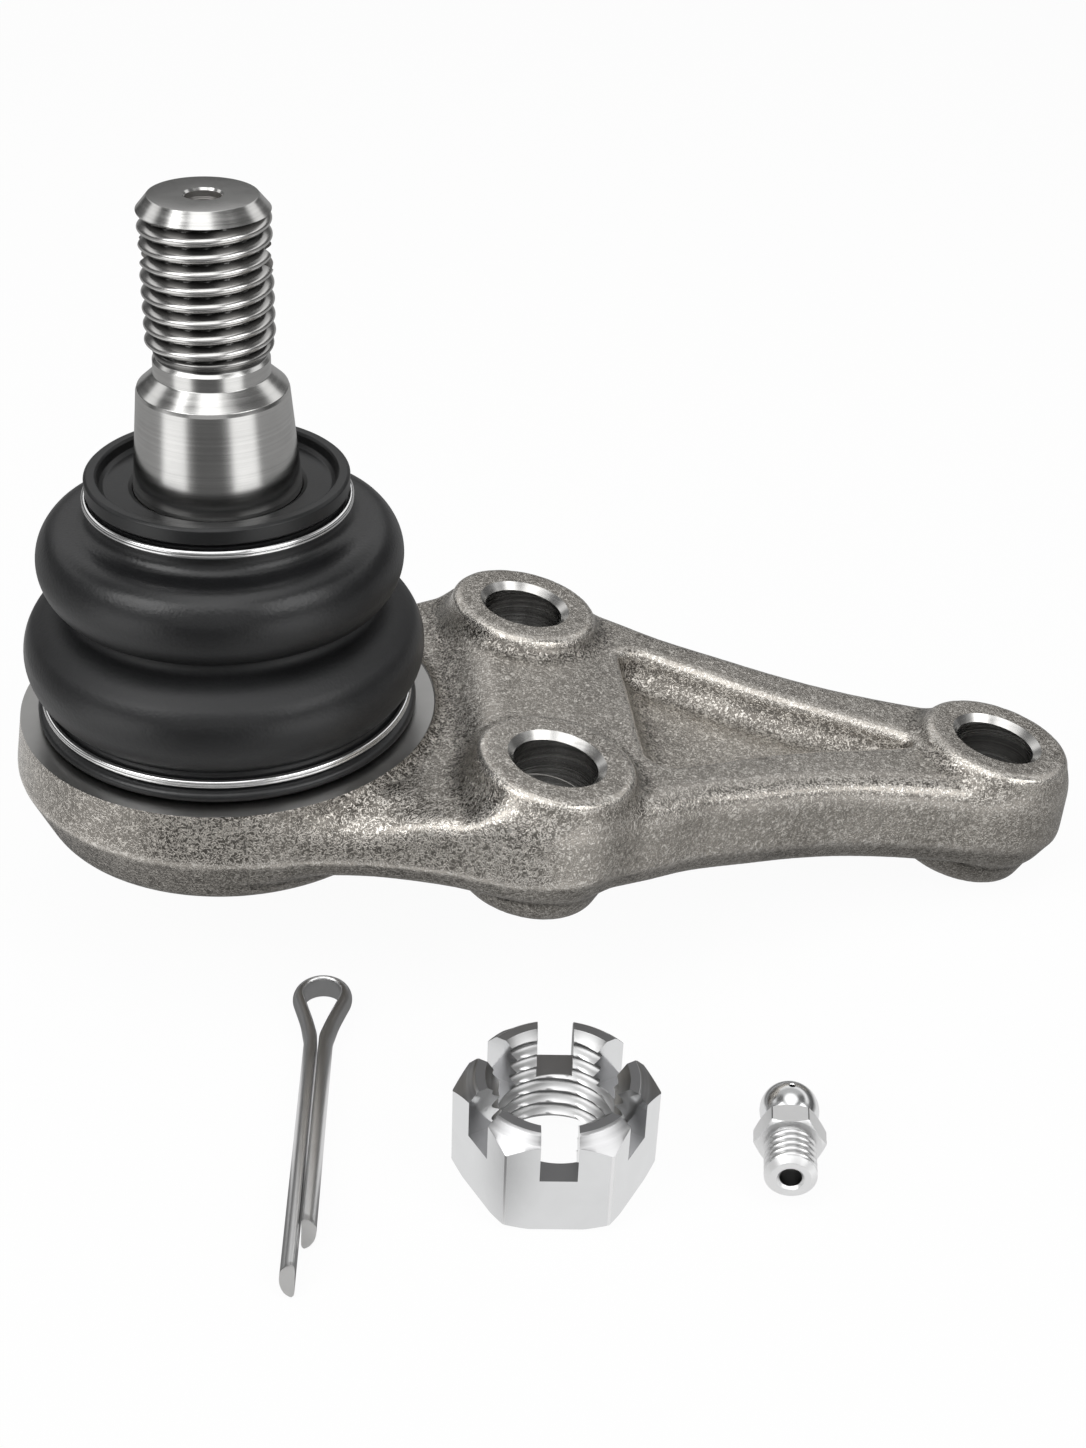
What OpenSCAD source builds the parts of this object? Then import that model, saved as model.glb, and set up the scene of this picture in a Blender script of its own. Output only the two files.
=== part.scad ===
// Lower suspension ball joint: a forged arm with three bolt holes carries a
// tapered ball stud in a two-piece bearing, closed by a crimped plate and sealed
// by a bellows boot. The castle nut, its cotter pin and the grease fitting lie
// loose in front, as they are supplied.
// Origin at the ball's centre, +Z along the stud, +X towards the arm's tip.

/* [Ball stud] */
// Diameter of the ball
ball_d = 30; // [26:0.5:36]
// Diameter of the neck above the ball
neck_d = 17; // [13:0.5:18]
// Diameter of the taper at its big end, and of the land below it
taper_d = 26.8; // [22:0.1:32]
// Height of the taper's big end above the ball centre
taper_z = 46.5; // [42:0.5:56]
// Length of the taper
taper_len = 17; // [12:0.5:21]
// Diameter the taper loses for each millimetre of its length
taper_rate = 0.2; // [0.1:0.01:0.2]
// Outside diameter of the stud's thread
thread_d = 20; // [16:0.5:22]
// Length from the shoulder to the stud's end
thread_len = 30; // [25:0.5:36]
// Diameter of the cotter hole across the thread
cotter_hole_d = 5; // [3.5:0.1:6]
// Depth of the cotter hole below the stud's end
cotter_hole_down = 9; // [7:0.5:12]

/* [Socket] */
// Wall of the bearing seats around the ball
seat_wall = 3.4; // [2.5:0.1:5]
// Gap between the ball and the rim of the socket's roof above it
roof_gap = 0.3; // [0.2:0.05:0.6]
// Radial running clearance between the ball and its seats
ball_clear = 0.05; // [0.03:0.01:0.1]
// Wall of the socket's lower hub around the closing plate
hub_wall = 2.8; // [2:0.1:4]
// Thickness of the closing plate
plate_t = 2; // [1.5:0.1:3]
// Thickness of the disc spring
spring_t = 0.8; // [0.6:0.1:1.2]
// Free height the disc spring takes up between lower seat and plate
spring_h = 1.6; // [1.3:0.1:2.4]
// Height of the machined face above the ball centre
face_z = 6; // [4:0.5:9]
// Diameter of the machined face
face_d = 69.4; // [64:0.2:76]
// Diameter of the neck that the boot's lower lip grips
boot_land_d = 55.4; // [53:0.2:62]
// Height of that neck above the machined face
boot_land_h = 6.5; // [5:0.5:8]
// Swing of the stud each way about X and about Y, in degrees
swing = 18; // [12:1:20]

/* [Forged arm] */
// Fall of the arm towards its tip, in degrees
arm_tilt = 10.5; // [6:0.5:13]
// Height at which the plane of the boss tops cuts the stud's axis
arm_top_z = 19; // [17:0.5:21]
// Distance of the two near bosses along the arm
boss_s = 54; // [50:0.5:66]
// Distance of each near boss from the arm's centre line
boss_t = 25.6; // [21:0.2:31]
// Distance of the tip boss along the arm
tip_s = 139.5; // [115:0.5:168]
// Height of the bosses from end to end
boss_h = 24.5; // [21:0.5:27]
// Diameter of a boss at its flat end
boss_d = 26.4; // [24:0.2:29]
// Diameter of the bolt holes
bolt_hole_d = 14; // [11:0.1:15]
// Width of the chamfer at the mouth of a bolt hole
bolt_chamfer = 1.1; // [0.5:0.1:1.5]
// Drop from the boss tops to the arm's upper side
rail_drop = 3; // [2:0.5:4]
// Drop from the boss tops to the parting line
parting_drop = 15; // [13:0.5:16]
// Drop from the boss tops to the arm's underside
under_drop = 18.8; // [17.5:0.1:20]
// Half width of the arm's waist beside the tip boss, at the parting line
waist_half = 16.2; // [15:0.2:18]
// Radius of the hollow flanks of the arm
flank_r = 111; // [100:1:160]
// Depth of the pocket between the rails
pocket_depth = 5.6; // [3:0.2:7]
// Width of each rail beside the pocket
rail_w = 9.5; // [8:0.5:12]

/* [Boot and clips] */
// Thickness of the boot's wall
boot_wall = 2.2; // [1.6:0.1:2.6]
// Diameter of the boot's lower fold
fold_low_d = 66; // [63:0.5:72]
// Diameter of the boot's upper fold
fold_up_d = 59.2; // [54:0.5:64]
// Diameter of the boot's waist
waist_d = 49; // [46:0.5:52]
// Diameter of the top collar
collar_d = 42; // [40:0.2:48]
// Height of the top collar's rim
collar_rim_h = 2.8; // [2:0.1:4]
// Depth of the dish inside the rim
dish_depth = 2.1; // [1:0.1:2.4]
// Diameter of the clip rings' wire
clip_wire_d = 1; // [0.8:0.1:1.2]

/* [Loose parts] */
// Width across the nut's flats
nut_af = 27; // [25:0.5:32]
// Height of the nut to its top face
nut_h = 18; // [16:0.5:21]
// Width of the nut's slots
slot_w = 5.3; // [4.5:0.1:5.8]
// Depth of the nut's slots
slot_depth = 8; // [6:0.1:9]
// Diameter of the nut's bore at the thread's crests
nut_bore_d = 17.3; // [14.5:0.1:19]
// Diameter of the cotter pin's shank
pin_d = 4.4; // [3:0.1:4.8]
// Length of the cotter pin's longer leg below the eye's mouth
pin_long = 51; // [36:1:64]
// How much shorter the other leg is
pin_step = 9; // [4:1:12]
// Radius inside the cotter pin's eye
eye_r = 2.9; // [2.5:0.1:3.6]
// Diameter of the grease fitting's thread
fitting_thread_d = 8; // [6:0.5:9]
// Width across the flats of the grease fitting
fitting_af = 9.6; // [9:0.1:12]
// Length of the grease fitting
fitting_len = 20.4; // [19:0.2:24]

/* [Hidden] */
$fn = 72;
hull_fn = 36;
eps = 0.01;
fit_gap = 0.3;
turn_gap = 0.06;

ball_r = ball_d / 2;
neck_r = neck_d / 2;
taper_r = taper_d / 2;
thread_r = thread_d / 2;
bore_r = ball_r + seat_wall;
cone = acos(pow(cos(swing), 2));
mouth_clear = 0.6;
land_top_z = face_z + boot_land_h;
land_r = boot_land_d / 2;

// Radius of the socket's mouth that clears the neck at full swing, at height h
function mouth_r(h) = (neck_r + mouth_clear + h * sin(cone)) / cos(cone);
// Underside of the socket's roof: where the mouth's cone passes the ball with the gap
roof_z = (ball_r + roof_gap) * cos(cone + asin((neck_r + mouth_clear) / (ball_r + roof_gap)));
// How far up the stud the mouth's rim reaches at full swing
neck_top_z = land_top_z * cos(cone) + mouth_r(land_top_z) * sin(cone) + 1.5;

shoulder_z = taper_z + taper_len;
shoulder_r = taper_r - taper_len * taper_rate / 2;
under_r = thread_r - 1.1;
shoulder_chamfer = shoulder_r - under_r;
runout = 2;
stud_end_z = shoulder_z + thread_len;
end_chamfer = 1.8;
end_chamfer_h = 2.6;
shank_r = taper_r - 2.4;
centre_hole_r = 2.8;
centre_hole_h = 5;

seat_low_z = -(ball_r + 0.4);
plate_top_z = seat_low_z - spring_h;
plate_low_z = plate_top_z - plate_t;
plate_r = bore_r + 0.8;
hub_r = bore_r + hub_wall;
crimp_low_z = plate_low_z - 0.8;
port_boss_r = 6.5;
port_boss_h = 3;
port_r = fitting_thread_d / 2 - 0.55;

face_r = face_d / 2;
drum_r = face_r + 1.3;
drum_part_z = face_z - 8.6;
drum_low_z = face_z - 18.7;

arm_angle = [0, arm_tilt, 0];
boss_r = boss_d / 2;
boss_part_r = boss_r + 2.8;
boss_low_r = boss_r - 1.4;
bolt_r = bolt_hole_d / 2;
flank_t = waist_half + flank_r;
flank_s = tip_s - 7.5;
pad_inset = 0.2;
draft_up = 0.17;
draft_low = 0.28;
neck_flank_r = 74;
neck_hollow = 3.5;
neck_part_z = face_z - 10;
neck_draft = 0.5;
neck_dip_z = face_z - 4.6;
neck_dip_r = 25;
neck_dip_slope = 38;
valley_r = 7;

boot_gap = fit_gap;
lip_low_r = land_r + boot_gap + 1.6;
lip_foot_r = lip_low_r + 2;
lip_foot_h = 1.8;
fold_low_z = face_z + 12;
fold_low_round = 8.8;
fold_up_z = taper_z - 11.9;
fold_up_round = 7.6;
waist_z = (fold_low_z + fold_low_round + fold_up_z - fold_up_round) / 2;
clip_r = clip_wire_d / 2;
clip_pitch = 0.95 * clip_wire_d;
collar_r = collar_d / 2;
collar_low_z = taper_z - 0.3;
collar_top_z = collar_low_z + collar_rim_h;
collar_rim_w = 2.1;
sleeve_low_z = collar_low_z - 5.2;
lip_up_r = collar_r - 0.7;
sleeve_r = lip_up_r - 2.7 - boot_gap;

floor_z = -32.4;
nut_place = [48.4, -73.9];
nut_turn = -5;
pin_place = [13.4, -46.9];
pin_turn = -4.7;
fitting_place = [84.2, -76.6];
fitting_turn = 168.2;
fitting_lean = -2.5;
fitting_roll = -4.8;

fitting_hex_z = 7.4;
fitting_hex_h = 3.8;
fitting_head_r = 4.5;
fitting_bore_r = 1.7;
nose_hole_r = 0.9;
nose_h = 3;
check_ball_r = 1.4;
spring_wire_r = 0.2;
spring_turns = 5;
spring_long = 6.5;

// Places what follows in the arm's own tilted frame: s along it, t across, w up
module arm_frame() {
    translate([0, 0, arm_top_z]) rotate(arm_angle) children();
}

// One hole and its copy on the other side of the centre line, then the tip
module at_bosses() {
    for (side = [-1, 1]) translate([boss_s, side * boss_t, 0]) children();
    translate([tip_s, 0, 0]) children();
}

// Stacked discs that a hull turns into drafted, parted forging: [height, radius]
module stack(steps) {
    for (i = [0 : len(steps) - 2])
        translate([0, 0, steps[i][0]])
            cylinder(h = steps[i + 1][0] - steps[i][0], r1 = steps[i][1], r2 = steps[i + 1][1], $fn = hull_fn);
}

// The pad round a boss, as high as the arm's upper and lower sides, less an inset
module arm_pad(inset) {
    stack([[-under_drop + inset, boss_part_r - 1.7 - inset], [-under_drop + 1.2, boss_part_r - 0.8 - inset],
        [-parting_drop, boss_part_r - inset], [-rail_drop - 1.2, boss_r + 1.2 - inset],
        [-rail_drop - inset, boss_r + 0.4 - inset]]);
}

// The socket's outer drum at the same levels
module drum_pad() {
    stack([[drum_part_z - 4.6, drum_r - 3.4], [drum_part_z, drum_r], [face_z - 2, drum_r - 0.9],
        [face_z - 1, drum_r - 1.4]]);
}

// From the drum to the near bosses: hollow flanks, top edges dipped between them and
// a valley in front of the machined face
module shoulder_body() {
    reach = norm([boss_s, boss_t]);
    lean = atan(boss_t / boss_s) + acos((drum_r - boss_part_r) / reach) - 90;
    mid_s = reach * 0.42;
    difference() {
        hull() {
            drum_pad();
            arm_frame() for (side = [-1, 1]) translate([boss_s, side * boss_t, 0]) arm_pad(pad_inset);
        }
        for (side = [0, 1]) mirror([0, side, 0]) rotate(lean) {
            translate([mid_s, drum_r - neck_hollow + neck_flank_r, neck_part_z])
                flank_cutter(neck_flank_r, arm_top_z - neck_part_z, 16, neck_draft);
            translate([mid_s, drum_r - neck_hollow, neck_dip_z]) rotate([90 - neck_dip_slope, 0, 0])
                translate([0, neck_dip_r, -12]) cylinder(h = 22, r = neck_dip_r);
        }
        translate([face_r + 3, 0, face_z + valley_r - 1]) rotate([90, 0, 0])
            cylinder(h = 2 * face_r, r = valley_r, center = true);
    }
}

module beam_body() {
    difference() {
        arm_frame() hull() at_bosses() arm_pad(0);
        arm_frame() for (side = [-1, 1]) translate([flank_s, side * flank_t, -parting_drop])
            flank_cutter(flank_r, parting_drop - rail_drop + 1, under_drop - parting_drop + 1, draft_low);
    }
}

// Two cones that meet on the parting line and hollow a flank with the forging's draft
module flank_cutter(r, up, down, low) {
    cylinder(h = up, r1 = r, r2 = r + up * draft_up, $fn = 180);
    translate([0, 0, -down]) cylinder(h = down, r1 = r + down * low, r2 = r, $fn = 180);
}

// Round-cornered triangle sunk between the rails, with drafted walls
module pocket_cutter() {
    near_s = boss_s + boss_r + 8;
    far_s = tip_s - boss_r - 6.5;
    near_t = boss_t - rail_w + 1.2;
    corner_r = 3.6;
    arm_frame() translate([0, 0, -rail_drop - pocket_depth]) hull() {
        for (at = [[near_s, near_t], [near_s, -near_t], [far_s, 0]])
            translate([at[0], at[1], 0])
                cylinder(h = pocket_depth + 1, r1 = corner_r - 1.7, r2 = corner_r + 0.3, $fn = hull_fn);
    }
}

// One boss standing proud of the arm above and below
module boss() {
    rotate_extrude() polygon([[0, 0], [boss_r - 0.7, 0], [boss_r, -0.7], [boss_r + 1, -rail_drop - 1],
        [boss_part_r, -parting_drop], [boss_low_r + 1.6, -under_drop],
        [boss_low_r, -boss_h + 1], [boss_low_r - 1, -boss_h], [0, -boss_h]]);
}

module bolt_hole() {
    translate([0, 0, -boss_h - 1]) cylinder(h = boss_h + 2, r = bolt_r);
    translate([0, 0, -bolt_chamfer]) cylinder(h = bolt_chamfer + 1, r1 = bolt_r, r2 = bolt_r + bolt_chamfer + 1);
    translate([0, 0, -boss_h - 1]) cylinder(h = bolt_chamfer + 1, r1 = bolt_r + bolt_chamfer + 1, r2 = bolt_r);
}

// The round socket: forged drum, turned face, neck for the boot and lower hub
module socket_body() {
    rotate_extrude() polygon([[0, crimp_low_z], [hub_r - 1, crimp_low_z], [hub_r, crimp_low_z + 1.2],
        [hub_r, drum_low_z - 2.6], [hub_r + 1.4, drum_low_z - 1.2], [drum_r - 5.6, drum_low_z],
        [drum_r - 4.2, drum_low_z + 0.7], [drum_r - 3.3, drum_low_z + 2.4], [drum_r, drum_part_z],
        [face_r + 0.6, face_z - 0.9], [face_r, face_z], [land_r, face_z],
        [land_r, land_top_z - 0.8], [land_r - 0.8, land_top_z], [0, land_top_z]]);
}

// Bore for the seats, ledge for the plate, and the mouth the stud swings in
module socket_bore() {
    rotate_extrude() polygon([[0, crimp_low_z - 1], [plate_r - 1.8, crimp_low_z - 1],
        [plate_r - 1.8, plate_low_z], [plate_r, plate_low_z], [plate_r, plate_top_z],
        [bore_r, plate_top_z], [bore_r, roof_z], [mouth_r(roof_z), roof_z],
        [mouth_r(land_top_z), land_top_z], [mouth_r(land_top_z + 1), land_top_z + 1], [0, land_top_z + 1]]);
}

module forged_arm() {
    color("#8a857c") difference() {
        union() {
            socket_body();
            shoulder_body();
            beam_body();
            arm_frame() at_bosses() boss();
        }
        socket_bore();
        translate([0, 0, face_z]) difference() {
            cylinder(h = boot_land_h + 2, r = face_r);
            translate([0, 0, -eps]) cylinder(h = boot_land_h + 3, r = land_r);
        }
        pocket_cutter();
        arm_frame() at_bosses() bolt_hole();
    }
}

module ball_stud() {
    color("#b9b9b6") difference() {
        union() {
            sphere(r = ball_r, $fn = 96);
            rotate_extrude() polygon([[0, 0], [neck_r, 0], [neck_r, neck_top_z],
                [shank_r, neck_top_z + 5], [shank_r, sleeve_low_z - 3], [taper_r, sleeve_low_z - 1],
                [taper_r, taper_z], [shoulder_r, shoulder_z], [under_r, shoulder_z + shoulder_chamfer],
                [under_r, shoulder_z + shoulder_chamfer + runout],
                [thread_r, shoulder_z + shoulder_chamfer + runout + 1], [thread_r, stud_end_z - end_chamfer_h],
                [thread_r - end_chamfer, stud_end_z], [0, stud_end_z]]);
        }
        translate([0, 0, stud_end_z - centre_hole_h]) cylinder(h = centre_hole_h + 1, r = centre_hole_r);
        translate([0, 0, stud_end_z - cotter_hole_down]) rotate([0, 90, 0])
            cylinder(h = thread_d + 4, r = cotter_hole_d / 2, center = true);
    }
}

// One bearing seat: a ring with the ball's form inside, from z0 to z1
module seat(z0, z1, hole_r) {
    rotate_extrude() difference() {
        translate([hole_r, z0]) square([bore_r - hole_r, z1 - z0]);
        circle(r = ball_r + ball_clear, $fn = 144);
    }
}

module upper_seat() {
    color("#e8e4d8") seat(0.2, roof_z - 0.02, 6);
}

module lower_seat() {
    color("#d9d5c8") seat(seat_low_z, -0.2, 7);
}

module disc_spring() {
    inner_r = 9;
    outer_r = bore_r - 0.4;
    color("#5f6468") rotate_extrude() polygon([[inner_r, seat_low_z], [inner_r, seat_low_z - spring_t],
        [outer_r, plate_top_z], [outer_r, plate_top_z + spring_t]]);
}

module closing_plate() {
    color("#7c7a75") difference() {
        rotate_extrude() polygon([[0, plate_top_z], [plate_r, plate_top_z], [plate_r, plate_low_z],
            [port_boss_r + 2, plate_low_z], [port_boss_r, plate_low_z - 0.8],
            [port_boss_r, plate_low_z - port_boss_h + 0.6], [port_boss_r - 0.6, plate_low_z - port_boss_h],
            [0, plate_low_z - port_boss_h]]);
        translate([0, 0, plate_low_z - port_boss_h - 1]) cylinder(h = plate_t + port_boss_h + 2, r = port_r);
    }
}

// The bellows' section, shrunk by its wall for the inside
module folds(wall) {
    translate([fold_low_d / 2 - fold_low_round, fold_low_z]) circle(r = fold_low_round - wall);
    translate([fold_up_d / 2 - fold_up_round, fold_up_z]) circle(r = fold_up_round - wall);
    translate([0, fold_low_z]) square([waist_d / 2 - wall, fold_up_z - fold_low_z]);
}

module dust_boot() {
    foot_z = face_z + boot_gap;
    lip_top_z = collar_low_z - boot_gap;
    color("#26282b") rotate_extrude() difference() {
        union() {
            folds(0);
            translate([0, foot_z]) square([lip_foot_r, lip_foot_h]);
            translate([0, foot_z]) square([lip_low_r, fold_low_z - foot_z]);
            translate([0, fold_up_z]) square([lip_up_r, lip_top_z - fold_up_z]);
        }
        folds(boot_wall);
        translate([0, 0]) square([land_r + boot_gap, land_top_z + boot_gap]);
        translate([0, fold_up_z]) square([sleeve_r + boot_gap, lip_top_z]);
        translate([-1, 0]) square([waist_d / 2 - boot_wall + 1, fold_up_z]);
    }
}

// Rigid top ring: rim and dish above, sleeve inside the boot's upper lip
module boot_collar() {
    bore = taper_r + turn_gap;
    dish_z = collar_top_z - dish_depth;
    color("#1f2123") rotate_extrude() polygon([[bore, sleeve_low_z], [sleeve_r - 0.5, sleeve_low_z],
        [sleeve_r, sleeve_low_z + 0.5], [sleeve_r, collar_low_z], [collar_r - 0.3, collar_low_z],
        [collar_r, collar_low_z + 0.3], [collar_r, collar_top_z - 0.3], [collar_r - 0.3, collar_top_z],
        [collar_r - collar_rim_w, collar_top_z], [collar_r - collar_rim_w - 0.1, dish_z], [bore, dish_z]]);
}

// Two turns of wire lying on each other, r inside and z at the lower turn
module clip(r, z) {
    rotate_extrude() for (turn = [0, 1])
        translate([r + clip_r, z + clip_r + turn * clip_pitch]) circle(r = clip_r, $fn = 24);
}

module upper_clip() {
    color("#d4d6d8") clip(lip_up_r + boot_gap, collar_low_z - boot_gap - clip_wire_d - clip_pitch);
}

module lower_clip() {
    color("#d4d6d8") clip(lip_low_r + boot_gap, face_z + boot_gap + lip_foot_h + boot_gap);
}

module castle_nut() {
    corner_r = nut_af / sqrt(3);
    crown_r = nut_af / 2 - 2;
    crown_h = 4.2;
    color("#dadde0") translate([nut_place[0], nut_place[1], floor_z]) rotate(nut_turn) difference() {
        intersection() {
            cylinder(h = nut_h, r = corner_r, $fn = 6);
            rotate_extrude() polygon([[0, 0], [corner_r - 1.2, 0], [corner_r, 0.8],
                [corner_r, nut_h - crown_h], [crown_r, nut_h], [0, nut_h]]);
        }
        translate([0, 0, -1]) cylinder(h = nut_h + 2, r = nut_bore_d / 2);
        translate([0, 0, -1]) cylinder(h = 2.2, r1 = nut_bore_d / 2 + 2.4, r2 = nut_bore_d / 2);
        for (turn = [30 : 60 : 150]) rotate(turn)
            translate([-nut_af, -slot_w / 2, nut_h - slot_depth]) cube([2 * nut_af, slot_w, slot_depth + 1]);
    }
}

// Half-round wire section with its flat on the Y axis, bulging towards +X
module half_round() {
    intersection() {
        circle(r = pin_d / 2, $fn = 40);
        translate([0, -pin_d]) square([pin_d, 2 * pin_d]);
    }
}

// A straight leg of the cotter pin, its end cut on a slant
module pin_leg(length) {
    difference() {
        linear_extrude(length) half_round();
        translate([-1, -pin_d / 2, length]) rotate([-42, 0, 0]) cube([pin_d + 2, 3 * pin_d, 2 * pin_d]);
    }
}

// One half of the cotter pin: leg, outward bend, flare and half the eye
module pin_half(leg) {
    reach = 10.4;
    flare = asin(eye_r / reach);
    bend_r = 7;
    lead = bend_r * tan(flare / 2);
    run = reach * cos(flare) - lead;
    rotate([90, 0, 0]) translate([0, 0, lead]) pin_leg(leg - lead);
    translate([bend_r, -lead, 0]) rotate(180 - flare) rotate_extrude(angle = flare)
        translate([bend_r, 0]) mirror([1, 0]) half_round();
    rotate(-flare) translate([0, lead + run, 0]) rotate([90, 0, 0]) linear_extrude(run) half_round();
    translate([0, reach, 0]) rotate(-flare) rotate_extrude(angle = 90 + flare)
        translate([eye_r, 0]) half_round();
}

module cotter_pin() {
    color("#8d8f90") translate([pin_place[0], pin_place[1], floor_z + pin_d / 2]) rotate(pin_turn) {
        pin_half(pin_long - pin_step);
        mirror([1, 0, 0]) pin_half(pin_long);
    }
}

// Places the fitting, lying on its hexagon and its head, nose away from the front
module fitting_frame() {
    rest = fitting_af / sqrt(3) * cos(30 + fitting_roll);
    translate([fitting_place[0], fitting_place[1], floor_z + rest])
        rotate(fitting_turn) rotate([90 - fitting_lean, 0, 0]) rotate(fitting_roll)
            translate([0, 0, -fitting_hex_z - fitting_hex_h / 2]) children();
}

// Along its own axis: thread from 0, hexagon above it, ball head at the far end
module grease_fitting() {
    r = fitting_thread_d / 2;
    corner_r = fitting_af / sqrt(3);
    head_z = fitting_len - fitting_head_r + 0.3;
    hex_top = fitting_hex_z + fitting_hex_h;
    color("#d2d5d8") fitting_frame() difference() {
        union() {
            rotate_extrude() polygon([[0, 0], [r - 0.8, 0], [r, 0.8], [r, fitting_hex_z - 1.2],
                [r - 0.6, fitting_hex_z - 0.9], [r - 0.6, fitting_hex_z + 1], [0, fitting_hex_z + 1]]);
            intersection() {
                translate([0, 0, fitting_hex_z]) cylinder(h = fitting_hex_h, r = corner_r, $fn = 6);
                rotate_extrude() polygon([[0, fitting_hex_z], [fitting_af / 2 + 0.1, fitting_hex_z],
                    [corner_r, fitting_hex_z + 0.5], [corner_r, hex_top - 0.5],
                    [fitting_af / 2 + 0.1, hex_top], [0, hex_top]]);
            }
            rotate_extrude() difference() {
                union() {
                    translate([0, fitting_hex_z]) square([3.1, head_z - fitting_hex_z]);
                    translate([0, head_z]) circle(r = fitting_head_r);
                }
                translate([-10, -10]) square([10, 60]);
                translate([-1, fitting_len]) square([10, 10]);
            }
        }
        rotate_extrude() polygon([[0, -1], [fitting_bore_r, -1], [fitting_bore_r, fitting_len - nose_h],
            [nose_hole_r, fitting_len - nose_h + fitting_bore_r - nose_hole_r],
            [nose_hole_r, fitting_len + 1], [0, fitting_len + 1]]);
    }
}

// The ball that shuts the fitting's nose, just clear of the cone it seats on
module check_ball() {
    color("#a9a9a9") fitting_frame() translate([0, 0, check_ball_z()]) sphere(r = check_ball_r, $fn = 36);
}

function check_ball_z() = fitting_len - nose_h + fitting_bore_r - check_ball_r * sqrt(2) - 0.12;

// A wire coil swept along its helix
module coil(r, wire_r, turns, length) {
    sides = 6;
    steps = 10;
    rings = turns * steps;
    points = [for (i = [0 : rings]) let (a = 360 * i / steps, z = length * i / rings)
        for (k = [0 : sides - 1]) let (b = 360 * k / sides)
            [(r + wire_r * cos(b)) * cos(a), (r + wire_r * cos(b)) * sin(a), z + wire_r * sin(b)]];
    walls = [for (i = [0 : rings - 1]) for (k = [0 : sides - 1]) for (half = [0, 1])
        let (next = (k + 1) % sides, a = i * sides + k, b = (i + 1) * sides + k,
            c = (i + 1) * sides + next, d = i * sides + next)
        half == 0 ? [a, b, c] : [a, c, d]];
    ends = [[for (k = [0 : sides - 1]) k], [for (k = [0 : sides - 1]) rings * sides + sides - 1 - k]];
    polyhedron(points = points, faces = concat(walls, ends), convexity = 10);
}

module check_spring() {
    low_z = check_ball_z() - check_ball_r - spring_long - spring_wire_r - 0.1;
    color("#9a9c9e") fitting_frame() translate([0, 0, low_z])
        coil(1.2, spring_wire_r, spring_turns, spring_long);
}

forged_arm();
ball_stud();
upper_seat();
lower_seat();
disc_spring();
closing_plate();
dust_boot();
boot_collar();
upper_clip();
lower_clip();
castle_nut();
cotter_pin();
grease_fitting();
check_ball();
check_spring();
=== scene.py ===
import math

import bmesh
import bpy
import numpy as np
from mathutils import Matrix, Vector


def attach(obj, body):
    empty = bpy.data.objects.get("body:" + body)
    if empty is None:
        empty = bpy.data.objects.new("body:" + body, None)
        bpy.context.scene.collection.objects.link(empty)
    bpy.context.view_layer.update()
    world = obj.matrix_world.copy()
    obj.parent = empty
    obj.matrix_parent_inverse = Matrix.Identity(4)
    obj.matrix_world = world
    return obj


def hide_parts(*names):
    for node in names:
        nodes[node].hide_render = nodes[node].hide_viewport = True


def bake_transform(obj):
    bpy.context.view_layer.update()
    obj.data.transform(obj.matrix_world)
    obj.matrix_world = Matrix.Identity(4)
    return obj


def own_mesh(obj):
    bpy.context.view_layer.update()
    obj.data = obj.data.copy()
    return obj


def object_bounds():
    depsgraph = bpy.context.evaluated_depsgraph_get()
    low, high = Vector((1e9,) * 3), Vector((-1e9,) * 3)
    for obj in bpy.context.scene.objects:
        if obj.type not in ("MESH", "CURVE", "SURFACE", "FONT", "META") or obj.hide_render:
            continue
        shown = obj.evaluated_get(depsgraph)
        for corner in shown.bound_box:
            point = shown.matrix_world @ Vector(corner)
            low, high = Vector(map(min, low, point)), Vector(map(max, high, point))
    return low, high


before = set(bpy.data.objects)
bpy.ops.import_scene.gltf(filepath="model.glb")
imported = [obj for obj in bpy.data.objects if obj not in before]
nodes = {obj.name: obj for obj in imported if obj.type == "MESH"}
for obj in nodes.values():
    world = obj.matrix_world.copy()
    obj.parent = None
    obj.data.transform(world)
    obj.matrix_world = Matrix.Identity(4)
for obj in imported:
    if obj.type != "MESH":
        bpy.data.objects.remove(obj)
cadBounds = [list(corner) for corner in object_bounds()]
mm = 0.001


def say(text):
    print("ball joint:", text)


say("frame loaded")

# the camera, fitted to the photo
view = {
    "place": (0.01372, -0.2936, 0.18789),
    "right": (0.9930, -0.1114, 0.0385),
    "up": (0.0276, 0.5375, 0.8428),
    "ahead": (0.1145, 0.8359, -0.5368),
    "lens": 49.87,
}


def putIn(name, data):
    holder = bpy.data.objects.new(name, data)
    bpy.context.scene.collection.objects.link(holder)
    return holder


def makeCamera():
    camera = bpy.data.cameras.new("photoCamera")
    camera.lens = view["lens"]
    camera.sensor_width = 36
    camera.sensor_fit = "AUTO"
    camera.clip_start = 0.01
    holder = putIn("photoCamera", camera)
    columns = [Vector(view["right"]), Vector(view["up"]), -Vector(view["ahead"])]
    turn = Matrix([[c[i] for c in columns] for i in range(3)]).to_4x4()
    holder.matrix_world = Matrix.Translation(view["place"]) @ turn
    bpy.context.scene.camera = holder


makeCamera()
bpy.context.scene.view_settings.view_transform = "Standard"


# a socket that can be reckoned with: flow * 2 + other makes the math nodes
class Flow:
    def __init__(self, socket):
        self.socket = socket
        self.tree = socket.id_data

    def __add__(self, other):
        return reckon("ADD", self, other)

    def __sub__(self, other):
        return reckon("SUBTRACT", self, other)

    def __rsub__(self, other):
        return reckon("SUBTRACT", other, self)

    def __mul__(self, other):
        return reckon("MULTIPLY", self, other)

    def __truediv__(self, other):
        return reckon("DIVIDE", self, other)


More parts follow.
